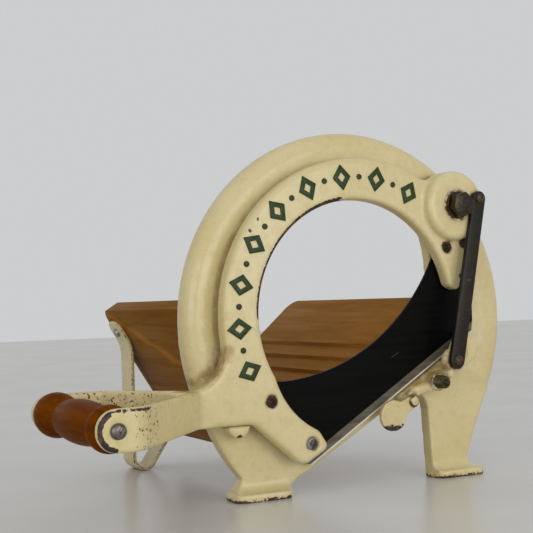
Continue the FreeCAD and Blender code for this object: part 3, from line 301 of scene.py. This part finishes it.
def blade_steel():
    """Dark carbon steel with a bevel made by grinding, bright at the cutting edge; the bevel's lighter grey
    is partly bare steel and partly a painted reflection.
    """
    f = Finish("blade_steel")
    from_edge = f.math("SUBTRACT", f.across(EDGE_SQUARE, OPENING), CUTTING_EDGE)
    streaks = f.noise(1.0, 4.0, 0.6, f.moved((20.0, 300.0, 300.0), (0, BLADE_TILT, 0)))
    plate = f.mix(f.ramp(streaks, 0.3, 0.7), (0.0012, 0.0012, 0.0012), (0.0035, 0.0035, 0.0034))
    plate = f.mix(f.ramp(f.noise(0.03), 0.5, 0.75, 0.0, 0.6), plate, (0.004, 0.0027, 0.0016))
    # The bevel's lighter grey is partly bare steel and partly a painted reflection along the blade's lower
    # part.
    bevel_steel_and_reflection = f.mix(f.ramp(streaks, 0.3, 0.7), (0.10, 0.085, 0.06), (0.17, 0.155, 0.12))
    in_bevel = f.ramp(from_edge, 0.0074, 0.0082, 1.0, 0.0)
    colour = f.mix(in_bevel, plate, bevel_steel_and_reflection)
    colour = f.mix(f.ramp(from_edge, 0.0009, 0.0018, 1.0, 0.0), colour, (0.72, 0.70, 0.62))
    rough = f.blend(in_bevel, f.ramp(streaks, 0.3, 0.7, 0.34, 0.46), 0.36)
    scratch = f.mark(*BLADE_SCRATCH, 0.0004)
    colour = f.mix(f.math("MULTIPLY", scratch, 0.5), colour, (0.10, 0.10, 0.095))
    return f.done(colour, rough, metallic=0.05, specular=0.05)


def aged_steel(name, light, dark, rust_from, rough, metal=0.9):
    """Dull steel with rust that gathers in blots."""
    f = Finish(name)
    colour = f.mix(f.ramp(f.noise(0.002), 0.35, 0.7), light, dark)
    rusty = f.ramp(f.noise(0.0032, 5.0, 0.65), rust_from, rust_from + 0.1)
    colour = f.mix(rusty, colour, f.mix(f.ramp(f.noise(0.0008), 0.4, 0.6), RUST, GRIME))
    normal = f.bump(f.noise(0.001), 0.00012, 0.5)
    return f.done(colour, f.blend(rusty, rough, 0.85), normal, metallic=f.blend(rusty, metal, 0.0))


def link_lacquer():
    """Black-brown lacquer with small rust marks."""
    f = Finish("link_lacquer")
    colour = f.mix(f.ramp(f.noise(0.008), 0.35, 0.7), (0.009, 0.008, 0.005), (0.018, 0.012, 0.006))
    spots = f.ramp(f.noise(0.0022, 4.0, 0.6), 0.60, 0.68)
    spots = f.math("MAXIMUM", f.math("MULTIPLY", spots, 0.6), f.mark(*LINK_MARK, 0.0012))
    colour = f.mix(f.math("MULTIPLY", spots, 0.8), colour, RUST)
    return f.done(colour, f.blend(spots, 0.36, 0.8), f.bump(f.noise(0.0025), 0.0002, 0.4), specular=0.25)


def table_paint():
    """Pale satin paint."""
    f = Finish("table_paint")
    colour = f.mix(f.ramp(f.noise(0.15, 3.0), 0.3, 0.7), (0.61, 0.60, 0.575), (0.65, 0.64, 0.615))
    return f.done(colour, 0.27, specular=0.4)


# Words for building pieces --------------------------------------------------------

FACING_FRONT = Matrix.Rotation(math.radians(90), 4, "X")


def only_verts(geometry):
    return [part for part in geometry if isinstance(part, bmesh.types.BMVert)]


def join_flat(shape, angle):
    """Join faces that meet almost flat, within an angle in degrees."""
    bmesh.ops.dissolve_limit(shape, angle_limit=math.radians(angle), verts=shape.verts, edges=shape.edges)


def finished(name, mesh, material, body, stands_for=()):
    piece = bpy.data.objects.new(name, mesh)
    bpy.context.scene.collection.objects.link(piece)
    mesh.materials.clear()
    mesh.materials.append(material)
    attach(piece, body)
    if stands_for:
        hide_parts(*stands_for)
    return piece


def to_mesh(shape, name, crease=32):
    """Closed mesh with soft faces and creases where it turns sharply."""
    bmesh.ops.remove_doubles(shape, verts=shape.verts, dist=1e-6)
    bmesh.ops.recalc_face_normals(shape, faces=shape.faces)
    mesh = bpy.data.meshes.new(name)
    shape.to_mesh(mesh)
    shape.free()
    mesh.shade_smooth()
    mesh.set_sharp_from_angle(angle=math.radians(crease))
    return mesh


def merged(node):
    """The node's own shape as one closed bmesh."""
    shape = bmesh.new()
    shape.from_mesh(frame["nodes"][node].data)
    bmesh.ops.remove_doubles(shape, verts=shape.verts, dist=2e-6)
    return shape


def round_edges(shape, width, segments=2, sharper_than=40):
    edges = [edge for edge in shape.edges
             if edge.is_manifold and edge.calc_face_angle(0) > math.radians(sharper_than)]
    bevel(shape, edges, width, segments)


def bevel(shape, geom, width, segments, affect="EDGES"):
    bmesh.ops.bevel(shape, geom=geom, offset=width, segments=segments, profile=0.5, affect=affect,
                    material=-1, clamp_overlap=True)


def plate(discs, front, back, edge, segments=2):
    """Plate around two discs, each (x, z, radius), between two Y levels, with rounded edges."""
    shape = bmesh.new()
    for x, z, radius in discs:
        for y in (front, back):
            place = Matrix.Translation((x, y, z)) @ FACING_FRONT
            bmesh.ops.create_circle(shape, segments=56, radius=radius, matrix=place)
    hull = bmesh.ops.convex_hull(shape, input=shape.verts)
    bmesh.ops.delete(shape, geom=only_verts(set(hull["geom_interior"])), context="VERTS")
    join_flat(shape, 0.5)
    round_edges(shape, edge, segments)
    return shape


def turned(profile, centre, steps=48):
    """Round piece along Y from (radius, y) points, turned about a centre in X and Z."""
    shape = bmesh.new()
    verts = [shape.verts.new((centre.x + radius, y, centre.z)) for radius, y in profile]
    edges = [shape.edges.new(pair) for pair in zip(verts, verts[1:])]
    bmesh.ops.spin(shape, geom=verts + edges, cent=(centre.x, 0, centre.z), axis=(0, 1, 0), angle=math.tau,
                   steps=steps, use_merge=True)
    bmesh.ops.remove_doubles(shape, verts=shape.verts, dist=1e-6)
    bmesh.ops.recalc_face_normals(shape, faces=shape.faces)
    return shape


def cut_slot(shape, centre, turn, width, floor):
    """Screwdriver slot in a head that faces -Y, down to the given Y level."""
    across = Vector((-math.sin(turn), 0, math.cos(turn)))
    for side in (-0.5, 0.5):
        everything = shape.verts[:] + shape.edges[:] + shape.faces[:]
        wall = centre + across * side * width
        bmesh.ops.bisect_plane(shape, geom=everything, plane_co=wall, plane_no=across)
    inside = [face for face in shape.faces
              if abs((face.calc_center_median() - centre).dot(across)) < width / 2 - 1e-6
              and face.normal.y < -0.25 and face.calc_center_median().y < floor]
    made = bmesh.ops.extrude_face_region(shape, geom=inside)
    for vert in only_verts(made["geom"]):
        vert.co.y = floor


def domed(centre, front, back, radius, bulge, steps=40):
    """Domed head from its flat back to the top of its dome."""
    rim = front + bulge
    arc = [(radius * math.cos(turn), rim - bulge * math.sin(turn))
           for turn in (math.radians(90 * share / 6) for share in range(7))]
    return turned([(0.0, back), (radius, back)] + arc[:-1] + [(0.0, front)], centre, steps)


# Cast and enamelled pieces --------------------------------------------------------

def softened(name, shape, node, voxel, rounds, enamel, body, wear):
    """Cast skin: a shape remeshed evenly, with its corners melted by the rounds that each place asks for."""
    bmesh.ops.recalc_face_normals(shape, faces=shape.faces)
    mesh = bpy.data.meshes.new(name)
    shape.to_mesh(mesh)
    shape.free()
    piece = finished(name, mesh, enamel, body, [node])
    remesh = piece.modifiers.new("even_skin", "REMESH")
    remesh.mode = "VOXEL"
    remesh.voxel_size = voxel
    graph = bpy.context.evaluated_depsgraph_get()
    skin = bpy.data.meshes.new_from_object(piece.evaluated_get(graph), depsgraph=graph)
    piece.modifiers.clear()
    piece.data = skin
    bpy.data.meshes.remove(mesh)
    melt(skin, rounds)
    skin.name = name
    skin.shade_smooth()
    paint_wear(skin, voxel, wear)
    return piece


def melt(mesh, rounds):
    """Smooth each point of a skin as many times as its place asks for."""
    shape = bmesh.new()
    shape.from_mesh(mesh)
    shape.normal_update()
    wanted = [(vert, rounds(vert.co, vert.normal)) for vert in shape.verts]
    for done in range(max(count for _, count in wanted)):
        soft = [vert for vert, count in wanted if count > done]
        bmesh.ops.smooth_vert(shape, verts=soft, factor=0.5,
                              use_axis_x=True, use_axis_y=True, use_axis_z=True)
    shape.to_mesh(mesh)
    shape.free()


RIM_ENDS_RIGHT, RIM_ENDS_LEFT = 335.0, 207.0    # angles where the rim meets the legs


def frame_rounds(point, normal):
    """Crisper legs and feet; the ring's rounded rim runs out slowly down the legs."""
    reach, turn = from_front(point, RING)
    if point.y > WEB_BACK - 3 * MM and from_front(point, PIVOT)[0] < WASHER_REACH:
        return 1                        # room for the washer that slides behind the slot
    above_legs = point.z > 0.075 or -0.02 < point.x < 0.105
    plain = 8 if above_legs else 4
    past = RIM_ENDS_RIGHT - turn if turn > 270 else turn - RIM_ENDS_LEFT
    on_rim = reach > RING_R - 38 * MM and WEB_FRONT - 6 * MM < point.y < WEB_FRONT + 6 * MM
    if 180 < turn and past > -5 and on_rim:
        return max(plain, round(36 * (1 - fade(past, 4.0, 26.0)) * fade(past, -5.0, -1.0)))
    return plain


def surface_bend(mesh, voxel):
    """How hollow (positive) or ridged (negative) the skin is at each point."""
    shape = bmesh.new()
    shape.from_mesh(mesh)
    bend = []
    for vert in shape.verts:
        around = sum((edge.other_vert(vert).co for edge in vert.link_edges), Vector()) / len(vert.link_edges)
        bend.append((around - vert.co).dot(vert.normal) / voxel)
    neighbours = [[edge.other_vert(vert).index for edge in vert.link_edges] for vert in shape.verts]
    shape.free()
    for _ in range(4):
        bend = [(bend[index] + sum(bend[other] for other in near) / len(near)) / 2
                for index, near in enumerate(neighbours)]
    return bend


def paint_wear(mesh, voxel, wear):
    """Write three amounts for the enamel at each point: ochre in hollows, dark dirt, and chipping. The first
    two also carry painted shade along the arm's crease and the bow's edge.
    """
    layers = [mesh.attributes.new(name, "FLOAT", "POINT") for name in ("hollow", "grime_and_shade", "worn")]
    for index, bend in enumerate(surface_bend(mesh, voxel)):
        point = mesh.vertices[index].co
        ridge = min(1.0, max(0.0, -bend * 9 - 0.12))
        hollow = min(1.0, max(0.0, bend * 13))
        for layer, amount in zip(layers, wear(point, mesh.vertices[index].normal, ridge, hollow)):
            layer.data[index].value = min(1.0, max(0.0, amount))


def blot(point, centre, reach):
    """1 at a place, fading to 0 at its reach."""
    return 1 - fade((point - Vector(centre)).length, 0.25 * reach, reach)


def ring_stain(point, centre, radius, width):
    away = from_front(point, centre)[0]
    return 1 - fade(away, radius, radius + width)


# Angle around the opening, and distance outside its edge
BLADE_SCREWS = [around_opening(angle, OPENING_R + out * MM)
                for angle, out in ((218.1, 13.9), (244.3, 19.2), (31.0, 10.8), (28.4, 27.8))]


def bow_wear(point, normal, ridge, hollow):
    front = point.y < BOW_FRONT + 2 * MM
    grime_and_shade = 0.0
    stain_and_shade = 0.5 * hollow
    worn = 0.22 * ridge
    if front and normal.y < -0.3:
        grime_and_shade = max(0.95 * (1 - fade(from_front(point, PIVOT)[0], 11.5 * MM, 14.5 * MM)),
                    0.8 * (1 - fade(from_front(point, LINK_TOP)[0], 6 * MM, 9 * MM)))
        for place in BLADE_SCREWS:
            grime_and_shade = max(grime_and_shade, 0.75 * ring_stain(point, place, 5.2 * MM, 1.4 * MM))
    reach, turn = from_front(point, OPENING)
    if front:
        for chip in BOW_CHIPS:
            worn = max(worn, 1.4 * (1 - fade(from_place(point, chip), 0.9 * MM, 1.7 * MM)))
    if point.y < BOW_FRONT + 3.4 * MM and reach < OPENING_R + 3.4 * MM:
        edge_line = band(reach, OPENING_R - 1.5 * MM, OPENING_R + 2.7 * MM, 0.7 * MM)
        worn = max(worn, 1.35 * edge_line * band(turn, 104, 176, 10))
    near_arm = point.y < BOW_FRONT - 60 * MM
    if near_arm:
        worn = max(worn, near_arm_wear(point, normal, ridge))
    far_arm = point.y > BOW_FRONT + 20 * MM
    if far_arm:
        worn = max(worn, 0.7 * ridge, 0.50 * band(point.x, -0.19, -0.12, 0.02) * (normal.y < -0.5))
        stain_and_shade = 0.25
    # Painted shade and dirt: an ochre line along the crease where the arm meets the ring, with a dark core
    # behind the front face.
    crease = off_line(point, ARM_CREASE_DIRT_AND_SHADE)
    stain_and_shade = max(stain_and_shade, 0.8 * (1 - fade(crease, 2 * MM, 6 * MM)))
    if not front:
        grime_and_shade = max(grime_and_shade, 0.45 * (1 - fade(crease, 1.5 * MM, 3.5 * MM)))
    return stain_and_shade, grime_and_shade, worn


def near_arm_wear(point, normal, ridge):
    """Chipped crescent at the arm's round end, and rust specks around its middle."""
    worn = 0.5 * ridge
    away, turn = from_front(point, GRIP)
    if normal.y < -0.5:
        crescent = band(away, 10.2 * MM, 12.6 * MM, 1.2 * MM) * band(turn, 118, 262, 14)
        top_edge = band(point.z, GRIP.z + 11 * MM, GRIP.z + 12.6 * MM, 1.0 * MM)
        top_line = top_edge * band(point.x, -0.183, -0.160, 0.01)
        worn = max(worn, 1.15 * crescent, 0.9 * top_line)
        worn = max(worn, 0.50 * blot(point, (GRIP.x + 27 * MM, point.y, GRIP.z), 34 * MM))
    return worn


def frame_wear(point, normal, ridge, hollow):
    worn = 0.2 * ridge
    foot = 1 - fade(point.z, 1.5 * MM, 5.5 * MM)
    worn = max(worn, foot * (0.45 + 0.8 * ridge), 0.5 * ridge * (point.z < 0.05))
    grime_and_shade = 0.0
    reach, turn = from_front(point, BOW_CENTRE)
    around_rib = 0.02 < point.x < 0.13 and 0.03 < point.z < 0.11 and point.y < -0.052
    stain_and_shade = hollow * (0.85 if around_rib else 0.15)
    if normal.y < -0.2:
        # Painted shade and dirt: an ochre line on the ring along the bow's outer edge at its lower left,
        # where the bow overlaps the ring.
        behind_bow = band(reach, BOW_R - 3 * MM, BOW_R + 0.6 * MM, 1.6 * MM)
        stain_and_shade = max(stain_and_shade, 0.5 * behind_bow * band(turn, 150, 205, 12))
        grime_and_shade = max(0.8 * ring_stain(point, GAUGE, 7.0 * MM, 2.5 * MM) * (point.y < BOSS_FRONT),
                    0.7 * ring_stain(point, TAB_PIN, 6.5 * MM, 3 * MM),
                    0.7 * ring_stain(point, ANCHOR, 7.5 * MM, 3 * MM) * (point.y < BOSS_FRONT))
    rib = (point - OPENING).dot(Vector(EDGE_SQUARE)) - CUTTING_EDGE
    if -7 * MM < rib < 3 * MM and 0.09 < point.x < 0.14 and point.y < -0.057:
        stain_and_shade = max(stain_and_shade, 0.9 * (1 - fade(-rib, 2 * MM, 7 * MM)))
    # Painted shade and dirt: an ochre line with a dark core on the ring along the arm's crease.
    crease = off_line(point, ARM_CREASE_DIRT_AND_SHADE)
    stain_and_shade = max(stain_and_shade, 0.7 * (1 - fade(crease, 2 * MM, 7 * MM)))
    grime_and_shade = max(grime_and_shade, 0.4 * (1 - fade(crease, 1.0 * MM, 3.0 * MM)))
    if point.y < WEB_FRONT - 6 * MM:
        worn = max(worn, 1.4 * (1 - fade(from_place(point, LUG_CHIP), 1.0 * MM, 2.4 * MM)))
    return stain_and_shade, grime_and_shade, worn


def tab_wear(point, normal, ridge, hollow):
    low = 1 - fade(point.z, 0.0455, 0.0510)
    grime_and_shade = 0.95 * (1 - fade(from_front(point, TAB_PIN)[0], 4.6 * MM, 6.0 * MM))
    left = ridge * (normal.x < -0.2)
    return 0.15, grime_and_shade, max(0.62 * ridge, 0.95 * low, 1.1 * left * fade(point.z, 0.050, 0.056), 0.25)


def leg_wear(point, normal, ridge, hollow):
    near_edge = fade(-normal.y, 0.15, 0.5)
    return 0.1, 0.0, max(0.7 * ridge, 1.0 * ridge * near_edge, 0.24)


def clear_washer_path(mesh):
    """Keep the corner between plate and rim sharp where the washer slides behind the slot."""
    for vert in mesh.vertices:
        if vert.co.y < WEB_BACK - 0.5 * MM or from_front(vert.co, PIVOT)[0] > WASHER_REACH:
            continue
        reach = from_front(vert.co, RING)[0]
        if reach < RIM_INNER_R - 0.4 * MM:
            vert.co.y = WEB_BACK
        elif reach < RIM_INNER_R + 0.8 * MM and vert.co.y > WEB_BACK + 0.1 * MM:
            out = (RIM_INNER_R + 0.1 * MM) / reach
            vert.co.x = RING.x + (vert.co.x - RING.x) * out
            vert.co.z = RING.z + (vert.co.z - RING.z) * out


def tab_shape():
    """Drop-shaped plate: a round end, and a narrow neck that widens towards it."""
    low, high = (Vector(corner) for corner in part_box("guide_tab"))
    middle_y, thick = (low.y + high.y) / 2, high.y - low.y
    round_r, eye_r = 12.0 * MM, 5.0 * MM
    bar_at_eye, bar_at_round = 4.7 * MM, 7.0 * MM
    round_end = Vector((low.x + 12.9 * MM, middle_y, low.z + 12.9 * MM))
    eye = Vector((TAB_PIN.x, middle_y, TAB_PIN.z))
    shape = bmesh.new()
    for centre, radius in ((round_end, round_r), (eye, eye_r)):
        bmesh.ops.create_cone(shape, cap_ends=True, segments=64, radius1=radius, radius2=radius, depth=thick,
                              matrix=Matrix.Translation(centre) @ FACING_FRONT)
    run = round_end - eye
    bar = bmesh.ops.create_cube(shape, size=1.0)
    across = Vector((-run.z, 0, run.x)).normalized()
    for vert in bar["verts"]:
        share = vert.co.x + 0.5
        half = bar_at_eye + (bar_at_round - bar_at_eye) * share
        vert.co = eye + run * share + across * half * 2 * vert.co.z + Vector((0, thick * vert.co.y, 0))
    return shape


def build_castings(enamel):
    skin = softened("frame_skin", merged("frame_casting"), "frame_casting", 1.2 * MM, frame_rounds, enamel,
                    "frame", frame_wear)
    clear_washer_path(skin.data)
    softened("bow_skin", merged("knife_bow"), "knife_bow", 1.0 * MM, lambda *_: 9, enamel, "bow", bow_wear)
    softened("tab_skin", tab_shape(), "guide_tab", 0.4 * MM, lambda *_: 5, enamel, "tab", tab_wear)
    softened("leg_skin", merged("rear_leg"), "rear_leg", 0.6 * MM, lambda *_: 4, enamel, "frame", leg_wear)


# Raised ornament on the bow -------------------------------------------------------

LOZENGES = 9
ORNAMENT_FROM, ORNAMENT_TO = 63.0, 202.0        # angles around the opening
ORNAMENT_OUT = 17.5 * MM
LOZENGE_TALL, LOZENGE_WIDE = 10.0 * MM, 8.0 * MM
LOZENGE_LINE = 3.7 * MM
DOT_R = 2.2 * MM
RELIEF = 0.9 * MM                       # in front of the bow
SUNK = 0.6 * MM                         # into the bow


def raised(shape, angle, long_way, wide_way, sides, line=0.0):
    """Flat raised figure at an angle around the opening: filled, or only a line of that width."""
    centre = around_opening(angle, OPENING_R + ORNAMENT_OUT)
    place = (Matrix.Translation((centre.x, BOW_FRONT - RELIEF, centre.z))
             @ Matrix.Rotation(-math.radians(angle), 4, "Y")
             @ Matrix.Diagonal((long_way, 1, wide_way, 1)) @ FACING_FRONT)
    made = bmesh.ops.create_circle(shape, cap_ends=True, segments=sides, radius=1.0, matrix=place)
    face = made["verts"][0].link_faces[0]
    if line:
        inner = bmesh.ops.inset_region(shape, faces=[face], thickness=line, use_boundary=True,
                                       use_even_offset=True)
        shape.faces.remove(face)
        ring = inner["faces"]
    else:
        ring = [face]
    sunk = bmesh.ops.extrude_face_region(shape, geom=ring)
    for vert in only_verts(sunk["geom"]):
        vert.co.y += RELIEF + SUNK


def build_ornament(green):
    """Lozenges in a row around the opening, with a dot between each two."""
    shape = bmesh.new()
    step = (ORNAMENT_TO - ORNAMENT_FROM) / (LOZENGES - 1)
    for index in range(LOZENGES):
        angle = ORNAMENT_FROM + index * step
        raised(shape, angle, LOZENGE_TALL, LOZENGE_WIDE, 4, LOZENGE_LINE)
        if index < LOZENGES - 1:
            raised(shape, angle + step / 2, DOT_R, DOT_R, 20)
    bmesh.ops.recalc_face_normals(shape, faces=shape.faces)
    round_edges(shape, 0.35 * MM, 2)
    finished("bow_ornament", to_mesh(shape, "bow_ornament", 50), green, "bow")


# Fittings -------------------------------------------------------------------------

def build_pivot(steel):
    """Hexagon bolt with chamfered corners."""
    shape = merged("pivot_bolt")
    join_flat(shape, 0.5)
    head_front = min(vert.co.y for vert in shape.verts)
    points = [vert for vert in shape.verts if vert.co.y < head_front + 1e-5]
    bevel(shape, points, 1.9 * MM, 3, "VERTICES")
    round_edges(shape, 0.35 * MM, 2, 28)
    finished("bolt_skin", to_mesh(shape, "bolt_skin", 25), steel, "bow", ["pivot_bolt"])


def build_pins(steel):
    for name, centre, node, body in (("upper_pin_head", LINK_TOP, "link_upper_pin", "bow"),
                                     ("lower_pin_head", ANCHOR, "link_lower_pin", "frame")):
        low = Vector(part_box(node)[0])
        radius = middle(node).x - low.x
        shape = domed(centre, low.y, low.y + 3 * MM, radius, 1.3 * MM)
        finished(name, to_mesh(shape, name), steel, body, [node])


def build_link(lacquer):
    """Flat bar with round ends, the lower one a little longer than round."""
    low, high = (Vector(corner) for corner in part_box("link_bar"))
    ends = [(LINK_TOP.x, LINK_TOP.z, 6.0 * MM), (ANCHOR.x, ANCHOR.z, 6.6 * MM)]
    shape = plate(ends, low.y, high.y, 0.7 * MM, 3)
    heading = (LINK_TOP - ANCHOR).normalized()
    longer = 0.09
    for vert in shape.verts:
        below = (ANCHOR - vert.co).dot(heading)
        if below > 0:
            vert.co -= heading * below * longer
    finished("link_skin", to_mesh(shape, "link_skin"), lacquer, "link", ["link_bar"])


def build_gauge(steel):
    """Threaded stud with a screwdriver slot."""
    low, high = (Vector(corner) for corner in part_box("gauge_screw"))
    radius, pitch, depth, threaded = (high.x - low.x) / 2, 1.25 * MM, 0.55 * MM, 11 * MM
    profile = [(0.0, high.y), (radius, high.y)]
    y = low.y + threaded
    while y > low.y + pitch:
        profile += [(radius, y), (radius - depth, y - pitch / 2)]
        y -= pitch
    profile += [(radius - 0.1 * MM, low.y + 0.8 * MM), (radius - 0.8 * MM, low.y), (0.0, low.y)]
    centre = Vector((GAUGE.x, low.y, GAUGE.z))
    shape = turned(profile, centre)
    cut_slot(shape, centre, math.radians(-20), 1.5 * MM, low.y + 1.6 * MM)
    finished("gauge_stud", to_mesh(shape, "gauge_stud", 28), steel, "frame", ["gauge_screw"])


def build_blade_screws(rusty, steel):
    """Countersunk slotted screws: the two beside the boss and the one on the arm are rusty."""
    low, high = (Vector(corner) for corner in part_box("blade_screws"))
    profile = [(0.0, high.y), (2.4 * MM, high.y), (2.4 * MM, low.y + 2.6 * MM),
               (4.75 * MM, low.y + 0.3 * MM), (4.4 * MM, low.y), (0.0, low.y)]
    slot_turns = (40, 62, 15, 75)
    for index, (place, turn) in enumerate(zip(BLADE_SCREWS, slot_turns)):
        centre = Vector((place.x, low.y, place.z))
        shape = turned(profile, centre)
        cut_slot(shape, centre, math.radians(turn), 1.2 * MM, low.y + 1.0 * MM)
        name = "blade_screw_%d" % (index + 1)
        finished(name, to_mesh(shape, name, 28), steel if index == 1 else rusty, "bow",
                 ["blade_screws"] if index == 0 else [])


def build_grip_rod(steel):
    """Domed slotted head on the near arm, and the shank through grip and arms."""
    low, high = (Vector(corner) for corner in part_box("grip_rod"))
    head = domed(GRIP, low.y, low.y + 3.2 * MM, 5.0 * MM, 2.0 * MM)
    cut_slot(head, Vector((GRIP.x, low.y, GRIP.z)), math.radians(55), 1.2 * MM, low.y + 1.1 * MM)
    finished("grip_rod_head", to_mesh(head, "grip_rod_head", 28), steel, "bow")
    shank = turned([(0.0, low.y + 3 * MM), (3.5 * MM, low.y + 3 * MM), (3.5 * MM, high.y - 0.5 * MM),
                    (3.0 * MM, high.y), (0.0, high.y)], GRIP)
    finished("grip_rod_shank", to_mesh(shank, "grip_rod_shank"), steel, "bow", ["grip_rod"])


def build_tab_pin(enamel):
    """Domed pin enamelled with the tab, grimy around its rim."""
    low, _ = (Vector(corner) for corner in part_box("guide_tab_pin"))
    shape = domed(TAB_PIN, low.y, low.y + 9 * MM, 4.0 * MM, 1.2 * MM)
    mesh = to_mesh(shape, "tab_pin_head")
    for name in ("hollow", "grime_and_shade", "worn"):
        layer = mesh.attributes.new(name, "FLOAT", "POINT")
        for vert in mesh.vertices:
            rim = fade(from_front(vert.co, TAB_PIN)[0], 2.9 * MM, 3.8 * MM)
            layer.data[vert.index].value = {"hollow": 0.2, "grime_and_shade": rim, "worn": 0.25}[name]
    finished("tab_pin_head", mesh, enamel, "frame", ["guide_tab_pin"])


def build_board(name, node, wood, corner, top=0.0):
    """A board with its edges eased, and with a larger rounding along its top."""
    shape = merged(node)
    join_flat(shape, 0.6)
    bmesh.ops.recalc_face_normals(shape, faces=shape.faces)
    if top:
        near_end = min(vert.co.y for vert in shape.verts)
        upper = max(vert.co.z for vert in shape.verts) - 17 * MM
        soft = [edge for edge in shape.edges
                if edge.is_manifold and edge.calc_face_angle(0) > math.radians(50)
                and all(vert.co.z > upper for vert in edge.verts)
                and max(vert.co.y for vert in edge.verts) > near_end + MM]
        bevel(shape, soft, top, 5)
    round_edges(shape, corner, 3, 50)
    finished(name, to_mesh(shape, name, 30), wood, "frame", [node])


def build_wood():
    # Painted reflection on the left board: a brighter orange band across its outer face.
    reflection_at = Vector((-0.0745, 0.128, 0.1315))
    painted_reflection = (Vector((0.48, 0.43, -0.76)).normalized(), reflection_at, 0.007, (0.42, 0.155, 0.008))
    left = lacquered_wood("left_board_wood", (0.265, 0.112, 0.010), (0.190, 0.072, 0.005),
                          (0.0, 0.0, 0.0), 0.42, painted_reflection)
    right = lacquered_wood("right_board_wood", (0.325, 0.150, 0.030), (0.245, 0.100, 0.014),
                           (5.0, 2.0, 1.0), 0.46)
    build_board("left_board_skin", "trough_left_board", left, 1.6 * MM, 4.6 * MM)
    build_board("right_board_skin", "trough_right_board", right, 0.9 * MM)
    handle = lacquered_wood("grip_wood", (0.180, 0.048, 0.0006), (0.110, 0.026, 0.0003),
                            (9.0, 4.0, 3.0), 0.24, sheen=0.006)
    finished("grip_skin", to_mesh(merged("grip"), "grip_skin", 40), handle, "grip", ["grip"])


def dress(node, material):
    """Give a kept node its finish."""
    holder = frame["nodes"][node]
    holder.data.materials.clear()
    holder.data.materials.append(material)


def build_fittings(enamel):
    bolt = aged_steel("bolt_steel", (0.050, 0.042, 0.028), (0.024, 0.018, 0.010), 0.60, 0.30, 0.8)
    washer = aged_steel("washer_steel", (0.06, 0.045, 0.03), (0.04, 0.025, 0.015), 0.42, 0.6, 0.6)
    pin = aged_steel("pin_steel", (0.10, 0.08, 0.05), (0.02, 0.013, 0.008), 0.50, 0.4)
    steel = aged_steel("screw_steel", (0.20, 0.19, 0.17), (0.11, 0.10, 0.085), 0.60, 0.38)
    stud = aged_steel("stud_steel", (0.10, 0.085, 0.04), (0.045, 0.035, 0.018), 0.60, 0.42)
    rusty = aged_steel("rusty_screw", (0.05, 0.022, 0.010), (0.015, 0.007, 0.004), 0.48, 0.6, 0.4)
    bright = aged_steel("bright_nickel", (0.42, 0.41, 0.39), (0.25, 0.24, 0.22), 0.72, 0.2)
    build_pivot(bolt)
    build_pins(pin)
    build_link(link_lacquer())
    build_gauge(stud)
    build_blade_screws(rusty, steel)
    build_grip_rod(steel)
    build_tab_pin(enamel)
    for node in ("pivot_washer", "pivot_spacer"):
        dress(node, washer)
    for node in ("pivot_rear_washer", "pivot_nut", "grip_rod_nut", "trough_seam_screws", "trough_screws",
                 "blade_tip_rivet"):
        dress(node, steel)
    dress("rear_leg_screws", bright)
    dress("knife_blade", blade_steel())


# Stage ----------------------------------------------------------------------------

CAMERA_AT = Vector((-0.40185, -0.76029, 0.145869))
YAW, PITCH, ROLL = 0.4899, 0.0333, -0.0282
LENS_MM, SENSOR_MM = 72.0, 36.0
FLOOR_HALF = 4.0


def build_floor():
    shape = bmesh.new()
    bmesh.ops.create_grid(shape, x_segments=1, y_segments=1, size=FLOOR_HALF)
    mesh = bpy.data.meshes.new("floor")
    shape.to_mesh(mesh)
    shape.free()
    mesh.materials.append(table_paint())
    floor = bpy.data.objects.new("floor", mesh)
    bpy.context.scene.collection.objects.link(floor)


def area_lamp(name, energy, colour, size, place, aim):
    """Rectangular lamp at a place, turned towards a point."""
    data = bpy.data.lights.new(name, "AREA")
    data.energy = energy
    data.color = colour
    data.shape = "RECTANGLE"
    data.size, data.size_y = size
    lamp = bpy.data.objects.new(name, data)
    lamp.location = place
    lamp.rotation_euler = (Vector(aim) - lamp.location).to_track_quat("-Z", "Y").to_euler()
    bpy.context.scene.collection.objects.link(lamp)


def build_light():
    world = bpy.data.worlds.new("soft_room")
    bpy.context.scene.world = world
    world.use_nodes = True
    background = world.node_tree.nodes["Background"]
    background.inputs["Color"].default_value = (0.98, 0.99, 1.0, 1.0)
    background.inputs["Strength"].default_value = 0.62
    area_lamp("window", 11.5, (1.0, 0.99, 0.96), (1.4, 1.2), (-1.5, -1.6, 0.36), (0, 0, 0.12))
    area_lamp("front_card", 4.2, (1.0, 0.98, 0.93), (1.0, 0.5), (0.25, -1.3, 0.30), (0.03, 0, 0.06))
    bpy.context.scene.view_settings.view_transform = "Standard"


def build_camera():
    data = bpy.data.cameras.new("camera")
    data.sensor_width = SENSOR_MM
    data.lens = LENS_MM
    camera = bpy.data.objects.new("camera", data)
    bpy.context.scene.collection.objects.link(camera)
    forward = Vector((math.sin(YAW), math.cos(YAW), 0))
    right = Vector((math.cos(YAW), -math.sin(YAW), 0))
    up = Vector((0, 0, 1))
    ahead = forward * math.cos(PITCH) + up * math.sin(PITCH)
    tilted = up * math.cos(PITCH) - forward * math.sin(PITCH)
    side = right * math.cos(ROLL) + tilted * math.sin(ROLL)
    top = tilted * math.cos(ROLL) - right * math.sin(ROLL)
    turn = Matrix((side, top, -ahead)).transposed()
    camera.matrix_world = Matrix.Translation(CAMERA_AT) @ turn.to_4x4()
    bpy.context.scene.camera = camera


build_camera()
build_floor()
build_light()
cream = stove_enamel()
build_castings(cream)
build_ornament(green_enamel())
build_fittings(cream)
build_wood()
